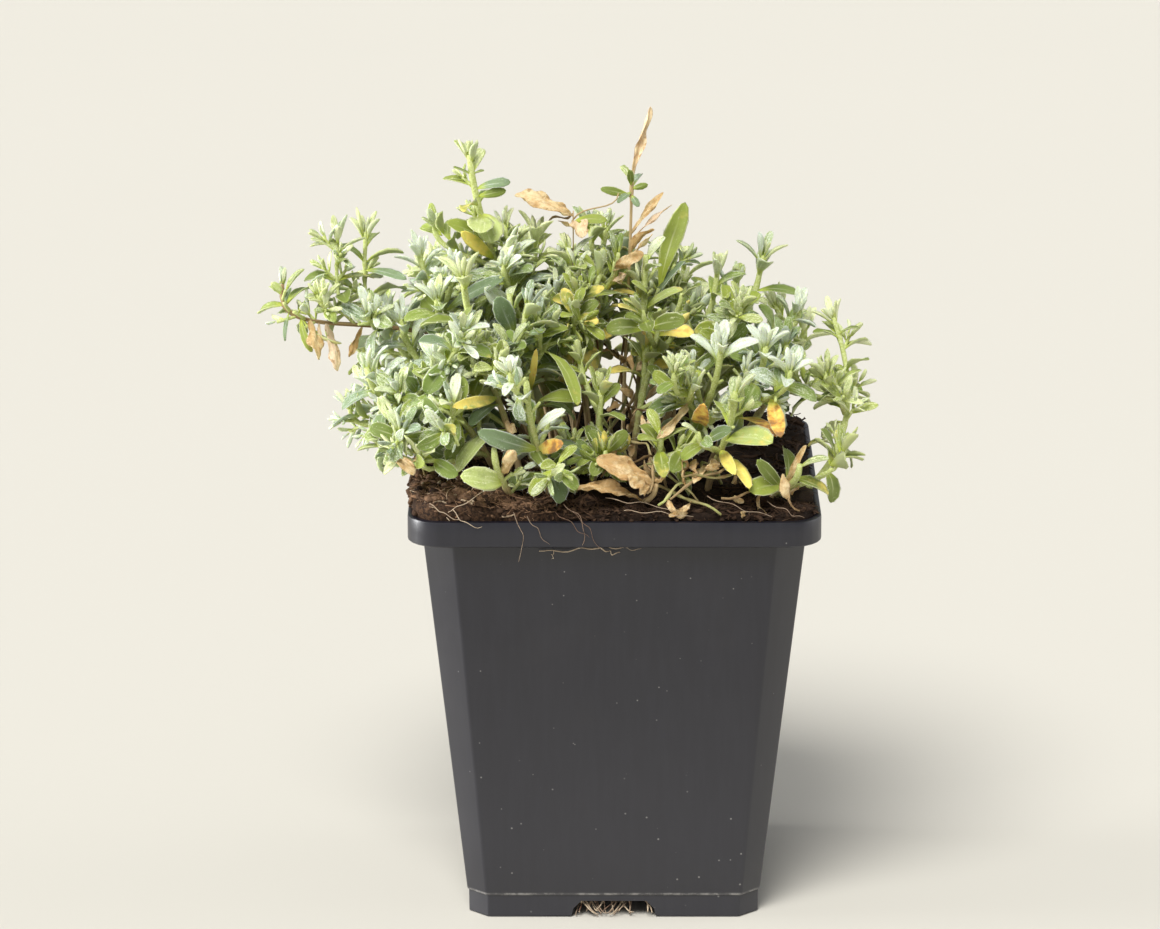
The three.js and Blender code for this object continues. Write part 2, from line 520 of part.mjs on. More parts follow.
// The stems as they stand in the pot. tip and via are points, root is where
// the stem leaves the soil, t is a share of the first shoot's run. leaf is the
// length of a grown leaf, gap the distance between grown pairs, own lists the
// single leaves that are set by hand. Lengths in millimetres, angles in degrees.
const STEMS = [
  { name: 'left_branch', root: [-15, -2], shoots: [
    { tip: [-73, -8, 139], via: [[-25, -3, 147], [-77, -8, 118]], leaf: 7, gap: 3.4 },
    { tip: [-64, -11, 138], t: 0.66, leaf: 6, gap: 3 },
    { tip: [-61, -4, 149], t: 0.6, leaf: 7.5, pairs: 4, gap: 4 },
    { tip: [-55, 0, 149], t: 0.52, leaf: 8, pairs: 4, gap: 4.2 },
  ], own: [
    { t: 0.7, to: [-61, -11, 120], wide: 3.2 },
    { t: 0.76, to: [-65, -13, 123], wide: 4.4 },
    { t: 0.8, to: [-60, -10, 126], wide: 2.6, arch: -70 },
  ] },
  { name: 'left_low_stem', root: [-27, -18], shoots: [
    { tip: [-54, -27, 125], leaf: 9, pairs: 4, gap: 4.6 },
    { tip: [-58, -21, 114], t: 0.5, leaf: 8, pairs: 2, gap: 4 },
    { tip: [-48, -38, 115], t: 0.42, leaf: 9.5, gap: 4, open: 12 },
    { tip: [-45, -28, 123], t: 0.6, leaf: 8.5, gap: 4 },
  ] },
  { name: 'left_middle_stem', root: [-22, -5], shoots: [
    { tip: [-47, -12, 132], leaf: 9, gap: 4.4 },
    { tip: [-53, 5, 128], t: 0.5, leaf: 8.5, pairs: 2, gap: 4.2 },
    { tip: [-55, -9, 117], t: 0.4, leaf: 8, pairs: 2, gap: 4 },
  ] },
  { name: 'left_high_stem', root: [-17, -9], shoots: [
    { tip: [-43, -6, 146], leaf: 8, gap: 4.4 },
    { tip: [-39, -17, 138], t: 0.6, leaf: 9, pairs: 2, gap: 4 },
    { tip: [-34, 8, 141], t: 0.5, leaf: 8.5, pairs: 2, gap: 4 },
  ] },
  { name: 'left_front_stem', root: [-25, -25], shoots: [
    { tip: [-39, -31, 128], leaf: 9, pairs: 4, gap: 4.4 },
    { tip: [-35, -43, 121], t: 0.5, leaf: 9, gap: 4, open: 10 },
    { tip: [-42, -42, 109], t: 0.25, leaf: 8, gap: 3.6, open: 12 },
  ] },
  { name: 'tall_stem', root: [-13, 4], shoots: [
    { tip: [-32, 2, 166], leaf: 7.5, pairs: 6, gap: 4.6 },
    { tip: [-40, 6, 149], t: 0.62, leaf: 7, pairs: 2, gap: 3.6 },
    { tip: [-27, 14, 142], t: 0.4, leaf: 9, gap: 4 },
  ], own: [
    { t: 0.83, to: [-27, -3, 147], wide: 7, arch: 40 },
    { t: 0.74, to: [-37, 0, 151], wide: 4.8, arch: 25, roll: -50 },
  ] },
  { name: 'crown_left_stem', root: [-11, -5], shoots: [
    { tip: [-24, -6, 147], leaf: 10, pairs: 4, gap: 4.4, open: 8 },
    { tip: [-17, 3, 148], t: 0.62, leaf: 9, pairs: 2, gap: 4 },
  ] },
  { name: 'bright_stem', root: [-20, -27], shoots: [
    { tip: [-33, -24, 145], leaf: 10.5, pairs: 4, gap: 3.2 },
    { tip: [-31, -33, 131], t: 0.5, leaf: 8.5, gap: 3.6 },
  ], own: [
    { t: 0.42, to: [-31, -36, 114], wide: 4.6, arch: 40 },
    { t: 0.3, to: [-34, -41, 105], wide: 5, arch: 60 },
    { t: 0.34, to: [-22, -38, 113], wide: 3, arch: 20 },
  ] },
  { name: 'front_upper_stem', root: [-14, -18], shoots: [
    { tip: [-23, -17, 139], leaf: 9, gap: 4.2 },
    { tip: [-14, -21, 132], t: 0.55, leaf: 9, gap: 4.4 },
    { tip: [-23, -30, 131], t: 0.45, leaf: 9, pairs: 2, gap: 4 },
  ], own: [
    { t: 0.42, to: [-8, -30, 118], wide: 5.2, arch: 45, roll: 30 },
  ] },
  { name: 'front_silver_stem', root: [-14, -33], shoots: [
    { tip: [-19, -43, 126], leaf: 11, pairs: 5, gap: 5, open: 6 },
    { tip: [-12, -47, 109], t: 0.3, leaf: 8, gap: 3.4, open: 22 },
  ] },
  { name: 'front_left_stem', root: [-22, -35], shoots: [
    { tip: [-26, -46, 112], leaf: 8, gap: 3, open: 20 },
  ] },
  { name: 'front_gap_stem', root: [-5, -26], shoots: [
    { tip: [-3, -31, 121], leaf: 8, gap: 4 },
    { tip: [-2, -41, 110], t: 0.4, leaf: 8, gap: 4, open: 10 },
  ] },
  { name: 'middle_back_stem', root: [-5, -4], shoots: [
    { tip: [-10, -2, 146], leaf: 9, gap: 4 },
    { tip: [-8, -12, 138], t: 0.6, leaf: 8, pairs: 2, gap: 4 },
  ] },
  { name: 'crown_middle_stem', root: [-3, 6], shoots: [
    { tip: [-5, 10, 148], leaf: 8.5, gap: 4 },
    { tip: [1, 1, 144], t: 0.62, leaf: 8, pairs: 2, gap: 4 },
    { tip: [2, 17, 141], t: 0.6, leaf: 8.5, pairs: 2, gap: 4 },
  ] },
  { name: 'top_sprig', root: [2, 2], shoots: [
    { tip: [4, 6, 161], leaf: 6, gap: 3 },
  ], own: [
    { t: 0.97, to: [8, 6, 176], wide: 2.8, arch: 20, roll: 60 },
    { t: 0.8, to: [11, 4, 157], wide: 2.6, arch: 15, roll: 60 },
  ] },
  { name: 'crown_right_stem', root: [5, 5], shoots: [
    { tip: [7, -1, 144], leaf: 9, gap: 4 },
    { tip: [13, 9, 142], t: 0.66, leaf: 7, pairs: 2, gap: 4 },
    { tip: [15, -4, 136], t: 0.5, leaf: 8, pairs: 2, gap: 4 },
  ], own: [
    { on: 1, t: 0.5, to: [16, 12, 153], wide: 5, arch: 20 },
    { on: 1, t: 0.3, to: [16, 6, 141], wide: 4.4, arch: 30 },
  ] },
  { name: 'hollow_stem', root: [4, -8], shoots: [
    { tip: [7, -11, 126], leaf: 9, gap: 5 },
    { tip: [10, -14, 135], t: 0.5, leaf: 8.5, gap: 4 },
  ] },
  { name: 'right_inner_stem', root: [9, 0], shoots: [
    { tip: [23, 1, 140], leaf: 8.5, gap: 4 },
    { tip: [19, 11, 131], t: 0.55, leaf: 7, pairs: 2, gap: 4 },
    { tip: [28, -11, 135], t: 0.55, leaf: 8.5, pairs: 2, gap: 4 },
  ] },
  { name: 'right_tall_stem', root: [16, 2], shoots: [
    { tip: [33, 3, 143], leaf: 9.5, pairs: 5, gap: 5.4, open: 6 },
    { tip: [41, -5, 132], t: 0.55, leaf: 8, pairs: 4, gap: 4.4 },
    { tip: [38, -14, 127], t: 0.42, leaf: 8, pairs: 2, gap: 4 },
  ] },
  { name: 'right_silver_stem', root: [14, -16], shoots: [
    { tip: [23, -33, 131], leaf: 10, gap: 3.6, open: 4 },
    { tip: [13, -32, 124], t: 0.5, leaf: 8, gap: 3.6 },
  ] },
  { name: 'right_front_stem', root: [20, -14], shoots: [
    { tip: [33, -27, 130], leaf: 10, pairs: 4, gap: 4 },
    { tip: [38, -37, 127], t: 0.55, leaf: 9, pairs: 4, gap: 4.2, open: 14 },
  ], own: [
    { t: 0.5, to: [35, -41, 113], wide: 4.6 },
  ] },
  { name: 'right_low_stem', root: [20, -27], shoots: [
    { tip: [26, -40, 123], leaf: 8.5, gap: 3.8 },
    { tip: [18, -44, 115], t: 0.45, leaf: 7, gap: 3.4 },
  ], own: [
    { t: 0.6, to: [34, -46, 113], wide: 7, arch: 40, roll: 35 },
    { t: 0.45, to: [29, -47, 103], wide: 4 },
    { t: 0.3, to: [17, -46, 104], wide: 3.6 },
  ] },
  { name: 'right_corner_stem', root: [33, -30], shoots: [
    { tip: [40, -41, 107], leaf: 9, pairs: 4, gap: 3.2, open: 16 },
    { tip: [50, -35, 109], t: 0.4, leaf: 8, gap: 3.4 },
  ], own: [
    { t: 0.6, to: [29, -45, 102], wide: 5.6, arch: 30, roll: -35 },
  ] },
  { name: 'far_right_stem', root: [38, -20], shoots: [
    { tip: [48, -14, 133], via: [[54, -32, 106], [53, -15, 120]], leaf: 7, pairs: 5, gap: 6 },
    { tip: [46, -23, 123], t: 0.5, leaf: 7.5, gap: 4 },
  ] },
  { name: 'dead_crown_twig', thin: true, withered: true, root: [-9, 9], shoots: [
    { tip: [-9, 3, 153], leaf: 6, pairs: 0 },
    { tip: [1, 3, 157], t: 0.97, leaf: 6, pairs: 0 },
  ], own: [
    { t: 0.98, to: [-22, 1, 157], wide: 6.5, arch: 30, roll: -60 },
    { t: 0.96, to: [-7, -2, 148], wide: 4, arch: 50 },
  ] },
  { name: 'dead_front_stem', withered: true, root: [3, -33], shoots: [
    { tip: [9, -42, 103], leaf: 6, pairs: 0 },
  ], own: [
    { t: 0.9, to: [-4, -44, 109], wide: 7.5, arch: 30, roll: -50 },
    { t: 0.75, to: [3, -47, 105], wide: 6, arch: 40, roll: -30 },
    { t: 0.5, to: [-9, -45, 102.5], wide: 5, arch: 50, roll: -40 },
  ] },
  { name: 'front_right_stem', root: [8, -26], shoots: [
    { tip: [10, -39, 114], leaf: 8, gap: 3.4, open: 12 },
  ] },
  { name: 'back_left_stem', root: [-18, 14], shoots: [
    { tip: [-40, 22, 137], leaf: 9, gap: 4.4 },
    { tip: [-52, 26, 124], t: 0.5, leaf: 8, pairs: 2, gap: 4 },
    { tip: [-56, 14, 117], t: 0.42, leaf: 8, pairs: 2, gap: 4 },
  ] },
  { name: 'back_left_low_stem', root: [-26, 22], shoots: [
    { tip: [-44, 40, 118], leaf: 9, gap: 4 },
    { tip: [-32, 34, 128], t: 0.5, leaf: 8.5, pairs: 2, gap: 4 },
  ] },
  { name: 'back_crown_stem', root: [-8, 13], shoots: [
    { tip: [-20, 23, 141], leaf: 9, gap: 4.2 },
    { tip: [-10, 27, 136], t: 0.6, leaf: 8.5, pairs: 2, gap: 4 },
  ] },
  { name: 'back_middle_stem', root: [-10, 24], shoots: [
    { tip: [-18, 40, 122], leaf: 9, gap: 4.2 },
    { tip: [-8, 47, 108], t: 0.4, leaf: 8, pairs: 2, gap: 3.6, open: 14 },
  ] },
  { name: 'back_right_stem', root: [13, 15], shoots: [
    { tip: [16, 25, 136], leaf: 9, gap: 4.2 },
    { tip: [28, 19, 133], t: 0.55, leaf: 8.5, pairs: 2, gap: 4 },
  ] },
  { name: 'back_right_low_stem', root: [20, 24], shoots: [
    { tip: [26, 40, 120], leaf: 9, gap: 4.2 },
    { tip: [38, 31, 117], t: 0.5, leaf: 8.5, pairs: 2, gap: 4 },
  ] },
  { name: 'back_corner_stem', root: [28, 10], shoots: [
    { tip: [43, 13, 124], leaf: 8.5, gap: 4.2 },
    { tip: [50, 1, 113], t: 0.5, leaf: 8, pairs: 2, gap: 4 },
  ] },
  { name: 'back_low_stem', root: [3, 28], shoots: [
    { tip: [10, 45, 112], leaf: 8.5, gap: 3.8, open: 8 },
  ] },
];

// Direction in which a shoot sets out: up and a little outwards from the soil,
// or half way between its stem and its own tip
function setOut(from, outward, tip, main, t) {
  if (!main) {
    return outward.clone().multiplyScalar(0.25 / Math.max(1, tip.z - from.z)).add(UP).normalize();
  }
  return main.curve.getTangent(t).add(tip.clone().sub(from).normalize()).normalize();
}

function makeShoots(stem) {
  const [x, y] = stem.root;
  const foot = new THREE.Vector3(x, y, soilTop(x, y) - HOLE_DEPTH);
  const shoots = [];
  stem.shoots.forEach((row, index) => {
    const tip = new THREE.Vector3(...row.tip);
    const main = shoots[0];
    const from = main ? stemPoint(main.curve, row.t) : foot;
    const outward = new THREE.Vector3(tip.x - from.x, tip.y - from.y, 0);
    const start = setOut(from, outward, tip, main, row.t);
    const lean = outward.clone().multiplyScalar(0.006).add(UP).normalize();
    shoots.push({
      curve: shootCurve(from, tip, start, lean, row.via),
      leaf: row.leaf * LEAF_GROWN,
      pairs: row.pairs ?? 3,
      gap: row.gap ?? 4,
      open: row.open ?? 0,
      yaw: 35 + 47 * index + 29 * Math.abs(tip.x % 7),
      bare: main ? 0.12 : 0.2,
    });
  });
  return shoots;
}

const palette = {
  pot: { color: 0x37373a, roughness: 0.55, metalness: 0 },
  soil: { color: 0x3c2b1f, roughness: 1, metalness: 0 },
  leaf: { color: 0x9db08a, roughness: 0.85, metalness: 0 },
  withered: { color: 0xb48c58, roughness: 0.9, metalness: 0 },
};

const plant = new THREE.Group();

function addNode(name, body, look) {
  const mesh = new THREE.Mesh(geometryOf(body), new THREE.MeshStandardMaterial(palette[look]));
  mesh.name = name;
  plant.add(mesh);
}

// All stems take their room first, then the single leaves, then the pairs
const grown = STEMS.map((stem) => ({ stem, shoots: makeShoots(stem) }));
grown.forEach(({ shoots }, node) => {
  for (const shoot of shoots) {
    curveSamples(shoot.curve).forEach((p) => taken.stems.push({ p, node }));
  }
});
const blades = grown.map(({ stem, shoots }, node) => {
  const own = stem.own ?? [];
  return own.map((row) => ownLeaf(row, shoots, node));
});
grown.forEach(({ shoots }, node) => {
  const draw = makeDraw(4001 + 97 * node);
  for (const shoot of shoots) {
    blades[node].push(...pairLeaves(shoot, node, draw));
  }
});

const cutters = [];
grown.forEach(({ stem, shoots }, node) => {
  const root = stem.thin ? TWIG_ROOT : STEM_ROOT;
  let body = solid(stemGeometry(shoots[0], root));
  for (const shoot of shoots.slice(1)) {
    body = body.add(solid(stemGeometry(shoot, BRANCH_ROOT)));
  }
  for (const leaf of blades[node]) {
    body = body.add(solid(leafGeometry(leaf)));
  }
  addNode(stem.name, body, stem.withered ? 'withered' : 'leaf');
  cutters.push(holeGeometry(shoots[0], root));
});
addNode('pot', makePot(), 'pot');
addNode('soil', makeSoil(cutters), 'soil');

const box = new THREE.Box3().setFromObject(plant);
const middle = box.getCenter(new THREE.Vector3());
plant.position.set(-middle.x, -middle.y, 0);

export default plant;
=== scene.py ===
"""A young snow-in-summer in a square black nursery pot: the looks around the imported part.

Lengths are millimetres from the pot's own axis until a piece is finished. Its mesh is
then put in metres in the part's frame. Leaves are silvery and upright at the shoot tips,
grey-green and arched below, with a few yellow and withered ones near the soil.
"""
import math
from types import SimpleNamespace

import bmesh
import bpy
import numpy as np
from mathutils import Matrix, Vector


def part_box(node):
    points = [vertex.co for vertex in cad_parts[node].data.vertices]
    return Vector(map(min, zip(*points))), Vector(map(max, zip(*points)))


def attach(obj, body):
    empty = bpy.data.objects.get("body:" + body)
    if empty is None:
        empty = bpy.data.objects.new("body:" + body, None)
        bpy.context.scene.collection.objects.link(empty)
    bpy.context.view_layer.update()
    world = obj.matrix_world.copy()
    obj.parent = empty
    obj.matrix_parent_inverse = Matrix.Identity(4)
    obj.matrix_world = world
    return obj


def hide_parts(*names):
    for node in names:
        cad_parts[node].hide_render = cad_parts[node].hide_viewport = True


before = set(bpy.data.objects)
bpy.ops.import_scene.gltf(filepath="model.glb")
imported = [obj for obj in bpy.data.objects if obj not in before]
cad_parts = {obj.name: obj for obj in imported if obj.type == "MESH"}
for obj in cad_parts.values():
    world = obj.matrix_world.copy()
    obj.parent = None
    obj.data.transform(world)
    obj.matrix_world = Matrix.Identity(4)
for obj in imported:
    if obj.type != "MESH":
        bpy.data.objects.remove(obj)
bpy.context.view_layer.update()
pot_low, pot_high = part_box("pot")
AXIS = np.array(((pot_low.x + pot_high.x) / 2, (pot_low.y + pot_high.y) / 2, 0.0))

MM = 0.001
DEG = math.pi / 180
UP = np.array((0.0, 0.0, 1.0))

# Pot, as in the part
POT_HEIGHT = 95.0
RIM_HALF = 45.0
RIM_HEIGHT = 5.8
RIM_CORNER = 7.5
RIM_WALL = 1.5
SHOULDER = POT_HEIGHT - RIM_HEIGHT
SHOULDER_HALF = 41.8
SHOULDER_CUT = 6.7
LEDGE_Z = 5.2
LEDGE_HALF = 32.6
LEDGE_CUT = 4.3
LEDGE_STEP = 0.35
FOOT_HALF = 32.2
WALL = 1.1
FOOT_WALL = 1.8
FLOOR_Z = 3.9
FLOOR = 1.2
NOTCH_HEIGHT = 3.8
DRAIN_RADIUS = 3.5
DRAIN_PLACE = 17.0

# Soil
SOIL_LEVEL = 96.0
SOIL_HEAP = 3.0
HEAP = SimpleNamespace(rise=5.2, x=-40.0, y=-22.0, width=400.0, depth=650.0)
CLUMP = SimpleNamespace(rise=0.6, x=0.31, y=0.27, phase=1.0)
HOLE_DEPTH = 5.0

# Stems and leaves
STEM_STEP = 10.0
STEM_TIP = 0.82
BEND = 0.38
KEEL = 0.85
FOOT_SUNK = 0.5
LEAF_RATIO = 0.48
LEAF_GROWN = 1.12
FIRST_PAIR = 1.7
OPENING = SimpleNamespace(tip=22.0, step=12.0, most=78.0)
ARCHING = SimpleNamespace(tip=30.0, step=9.0)
GROWING = SimpleNamespace(tip=0.7, step=0.12)
SPACING = SimpleNamespace(tip=0.5, step=0.17)
STEM_CLEAR = 2.0
CLEAR = 1.95
SELF_CLEAR = 1.3
OUTER = 6
SOIL_CLEAR = 1.3
RIM_CLEAR = 1.4

# How a leaf looks: fresh ones take their tone from their age
FRESH, WITHERED = "fresh", "withered"

# Ways that the upper side of a leaf may be turned
FRONT = (0.0, -1.0, 0.25)
FRONT_LEFT = (-0.5, -1.0, 0.3)
FRONT_RIGHT = (0.5, -1.0, 0.3)
FRONT_UP = (0.0, -1.0, 0.9)


# The plan of the plant, as in the part: each stem with its shoots and the leaves placed one by one


def shoot(tip, leaf, t=None, pairs=3, gap=4.0, open=0.0, via=None):
    return SimpleNamespace(tip=tip, leaf=leaf, t=t, pairs=pairs, gap=gap, open=open, via=via)


def single(t, to, wide, on=0, arch=35.0, roll=0.0, look=FRESH, twist=None, fold=None, faces=None):
    return SimpleNamespace(t=t, to=to, wide=wide, on=on, arch=arch, roll=roll, look=look,
                           twist=twist, fold=fold, faces=faces)


def stem(name, root, shoots, own=(), thin=False, slot="leaf"):
    return SimpleNamespace(name=name, root=root, shoots=shoots, own=own, thin=thin, slot=slot)


STEMS = [
    stem("left_branch", (-15, -2), [
        shoot((-73, -8, 139), 7, gap=3.4, via=((-25, -3, 147), (-77, -8, 118))),
        shoot((-64, -11, 138), 6, t=0.66, gap=3),
        shoot((-61, -4, 149), 7.5, t=0.6, pairs=4, gap=4),
        shoot((-55, 0, 149), 8, t=0.52, pairs=4, gap=4.2),
    ], [
        single(0.7, (-61, -11, 120), 3.2, look=WITHERED),
        single(0.76, (-65, -13, 123), 4.4, look=WITHERED),
        single(0.8, (-60, -10, 126), 2.6, arch=-70, look="lime"),
    ]),
    stem("left_low_stem", (-27, -18), [
        shoot((-54, -27, 125), 9, pairs=4, gap=4.6),
        shoot((-58, -21, 114), 8, t=0.5, pairs=2, gap=4),
        shoot((-48, -38, 115), 9.5, t=0.42, gap=4, open=12),
        shoot((-45, -28, 123), 8.5, t=0.6, gap=4),
    ]),
    stem("left_middle_stem", (-22, -5), [
        shoot((-47, -12, 132), 9, gap=4.4),
        shoot((-53, 5, 128), 8.5, t=0.5, pairs=2, gap=4.2),
        shoot((-55, -9, 117), 8, t=0.4, pairs=2, gap=4),
    ]),
    stem("left_high_stem", (-17, -9), [
        shoot((-43, -6, 146), 8, gap=4.4),
        shoot((-39, -17, 138), 9, t=0.6, pairs=2, gap=4),
        shoot((-34, 8, 141), 8.5, t=0.5, pairs=2, gap=4),
    ]),
    stem("left_front_stem", (-25, -25), [
        shoot((-39, -31, 128), 9, pairs=4, gap=4.4),
        shoot((-35, -43, 121), 9, t=0.5, gap=4, open=10),
        shoot((-42, -42, 109), 8, t=0.25, gap=3.6, open=12),
    ]),
    stem("tall_stem", (-13, 4), [
        shoot((-32, 2, 166), 7.5, pairs=6, gap=4.6),
        shoot((-40, 6, 149), 7, t=0.62, pairs=2, gap=3.6),
        shoot((-27, 14, 142), 9, t=0.4, gap=4),
    ], [
        single(0.83, (-27, -3, 147), 7, arch=40, look="pale"),
        single(0.74, (-37, 0, 151), 4.8, arch=25, roll=-50, look="olive"),
    ]),
    stem("crown_left_stem", (-11, -5), [
        shoot((-24, -6, 147), 10, pairs=4, gap=4.4, open=8),
        shoot((-17, 3, 148), 9, t=0.62, pairs=2, gap=4),
    ]),
    stem("bright_stem", (-20, -27), [
        shoot((-33, -24, 145), 10.5, pairs=4, gap=3.2),
        shoot((-31, -33, 131), 8.5, t=0.5, gap=3.6),
    ], [
        single(0.42, (-31, -36, 114), 4.6, arch=40, look="blue"),
        single(0.3, (-34, -41, 105), 5, arch=60, look="pale"),
        single(0.34, (-22, -38, 113), 3, arch=20, look=WITHERED, twist=0.6),
    ]),
    stem("front_upper_stem", (-14, -18), [
        shoot((-23, -17, 139), 9, gap=4.2),
        shoot((-14, -21, 132), 9, t=0.55, gap=4.4),
        shoot((-23, -30, 131), 9, t=0.45, pairs=2, gap=4),
    ], [
        single(0.42, (-8, -30, 118), 5.2, arch=45, roll=30, look="olive"),
    ]),
    stem("front_silver_stem", (-14, -33), [
        shoot((-19, -43, 126), 11, pairs=5, gap=5, open=6),
        shoot((-12, -47, 109), 8, t=0.3, gap=3.4, open=22),
    ]),
    stem("front_left_stem", (-22, -35), [
        shoot((-26, -46, 112), 8, gap=3, open=20),
    ]),
    stem("front_gap_stem", (-5, -26), [
        shoot((-3, -31, 121), 8, gap=4),
        shoot((-2, -41, 110), 8, t=0.4, gap=4, open=10),
    ]),
    stem("middle_back_stem", (-5, -4), [
        shoot((-10, -2, 146), 9, gap=4),
        shoot((-8, -12, 138), 8, t=0.6, pairs=2, gap=4),
    ]),
    stem("crown_middle_stem", (-3, 6), [
        shoot((-5, 10, 148), 8.5, gap=4),
        shoot((1, 1, 144), 8, t=0.62, pairs=2, gap=4),
        shoot((2, 17, 141), 8.5, t=0.6, pairs=2, gap=4),
    ]),
    stem("top_sprig", (2, 2), [
        shoot((4, 6, 161), 6, gap=3),
    ], [
        single(0.97, (8, 6, 176), 2.8, arch=20, roll=60, look=WITHERED, twist=1.5, fold=0.9),
        single(0.8, (11, 4, 157), 2.6, arch=15, roll=60, look=WITHERED),
    ]),
    stem("crown_right_stem", (5, 5), [
        shoot((7, -1, 144), 9, gap=4),
        shoot((13, 9, 142), 7, t=0.66, pairs=2, gap=4),
        shoot((15, -4, 136), 8, t=0.5, pairs=2, gap=4),
    ], [
        single(0.5, (16, 12, 153), 5, on=1, arch=20, look="olive", twist=1.2),
        single(0.3, (16, 6, 141), 4.4, on=1, arch=30, look="blue"),
    ]),
    stem("hollow_stem", (4, -8), [
        shoot((7, -11, 126), 9, gap=5),
        shoot((10, -14, 135), 8.5, t=0.5, gap=4),
    ]),
    stem("right_inner_stem", (9, 0), [
        shoot((23, 1, 140), 8.5, gap=4),
        shoot((19, 11, 131), 7, t=0.55, pairs=2, gap=4),
        shoot((28, -11, 135), 8.5, t=0.55, pairs=2, gap=4),
    ]),
    stem("right_tall_stem", (16, 2), [
        shoot((33, 3, 143), 9.5, pairs=5, gap=5.4, open=6),
        shoot((41, -5, 132), 8, t=0.55, pairs=4, gap=4.4),
        shoot((38, -14, 127), 8, t=0.42, pairs=2, gap=4),
    ]),
    stem("right_silver_stem", (14, -16), [
        shoot((23, -33, 131), 10, gap=3.6, open=4),
        shoot((13, -32, 124), 8, t=0.5, gap=3.6),
    ]),
    stem("right_front_stem", (20, -14), [
        shoot((33, -27, 130), 10, pairs=4, gap=4),
        shoot((38, -37, 127), 9, t=0.55, pairs=4, gap=4.2, open=14),
    ], [
        single(0.5, (35, -41, 113), 4.6, look="orange"),
    ]),
    stem("right_low_stem", (20, -27), [
        shoot((26, -40, 123), 8.5, gap=3.8),
        shoot((18, -44, 115), 7, t=0.45, gap=3.4),
    ], [
        single(0.6, (34, -46, 113), 7, arch=40, roll=35, look="lime"),
        single(0.45, (29, -47, 103), 4, look="yellow"),
        single(0.3, (17, -46, 104), 3.6, look=WITHERED),
    ]),
    stem("right_corner_stem", (33, -30), [
        shoot((40, -41, 107), 9, pairs=4, gap=3.2, open=16),
        shoot((50, -35, 109), 8, t=0.4, gap=3.4),
    ], [
        single(0.6, (29, -45, 102), 5.6, arch=30, roll=-35, look="olive"),
    ]),
    stem("far_right_stem", (38, -20), [
        shoot((48, -14, 133), 7, pairs=5, gap=6, via=((54, -32, 106), (53, -15, 120))),
        shoot((46, -23, 123), 7.5, t=0.5, gap=4),
    ]),
    stem("dead_crown_twig", (-9, 9), [
        shoot((-9, 3, 153), 6, pairs=0),
        shoot((1, 3, 157), 6, t=0.97, pairs=0),
    ], [
        single(0.98, (-22, 1, 157), 6.5, arch=30, roll=-60, look=WITHERED, twist=0.5, fold=0.25),
        single(0.96, (-7, -2, 148), 4, arch=50, look=WITHERED),
    ], thin=True, slot="withered"),
    stem("dead_front_stem", (3, -33), [
        shoot((9, -42, 103), 6, pairs=0),
    ], [
        single(0.9, (-4, -44, 109), 7.5, arch=30, roll=-50, look=WITHERED, twist=-0.4, fold=0.2),
        single(0.75, (3, -47, 105), 6, arch=40, roll=-30, look=WITHERED, twist=-0.5, fold=-0.3),
        single(0.5, (-9, -45, 102.5), 5, arch=50, roll=-40, look=WITHERED, twist=0.3, fold=0.3),
    ], slot="withered"),
    stem("front_right_stem", (8, -26), [
        shoot((10, -39, 114), 8, gap=3.4, open=12),
    ]),
    stem("back_left_stem", (-18, 14), [
        shoot((-40, 22, 137), 9, gap=4.4),
        shoot((-52, 26, 124), 8, t=0.5, pairs=2, gap=4),
        shoot((-56, 14, 117), 8, t=0.42, pairs=2, gap=4),
    ]),
    stem("back_left_low_stem", (-26, 22), [
        shoot((-44, 40, 118), 9, gap=4),
        shoot((-32, 34, 128), 8.5, t=0.5, pairs=2, gap=4),
    ]),
    stem("back_crown_stem", (-8, 13), [
        shoot((-20, 23, 141), 9, gap=4.2),
        shoot((-10, 27, 136), 8.5, t=0.6, pairs=2, gap=4),
    ]),
    stem("back_middle_stem", (-10, 24), [
        shoot((-18, 40, 122), 9, gap=4.2),
        shoot((-8, 47, 108), 8, t=0.4, pairs=2, gap=3.6, open=14),
    ]),
    stem("back_right_stem", (13, 15), [
        shoot((16, 25, 136), 9, gap=4.2),
        shoot((28, 19, 133), 8.5, t=0.55, pairs=2, gap=4),
    ]),
    stem("back_right_low_stem", (20, 24), [
        shoot((26, 40, 120), 9, gap=4.2),
        shoot((38, 31, 117), 8.5, t=0.5, pairs=2, gap=4),
    ]),
    stem("back_corner_stem", (28, 10), [
        shoot((43, 13, 124), 8.5, gap=4.2),
        shoot((50, 1, 113), 8, t=0.5, pairs=2, gap=4),
    ]),
    stem("back_low_stem", (3, 28), [
        shoot((10, 45, 112), 8.5, gap=3.8, open=8),
    ]),
]


# How the stems run and where their leaves have room


def unit(v):
    return v / np.linalg.norm(v, axis=-1, keepdims=True)


def make_draw(seed):
    """A repeatable draw between two bounds"""
    state = seed

    def draw(low, high):
        nonlocal state
        state = state * 16807 % 2147483647
        return low + (high - low) * (state / 2147483647)

    return draw


def turned(v, axis, angle):
    """A vector turned about a unit axis"""
    c, s = math.cos(angle), math.sin(angle)
    return v * c + np.cross(axis, v) * s + axis * (v @ axis) * (1 - c)


def laid_along(v, direction):
    """Vectors turned as the Z axis is when it is laid along a direction"""
    c = np.cross(UP, direction)
    once = np.cross(c, v)
    return v + once + np.cross(c, once) / (1 + direction[..., 2:3])


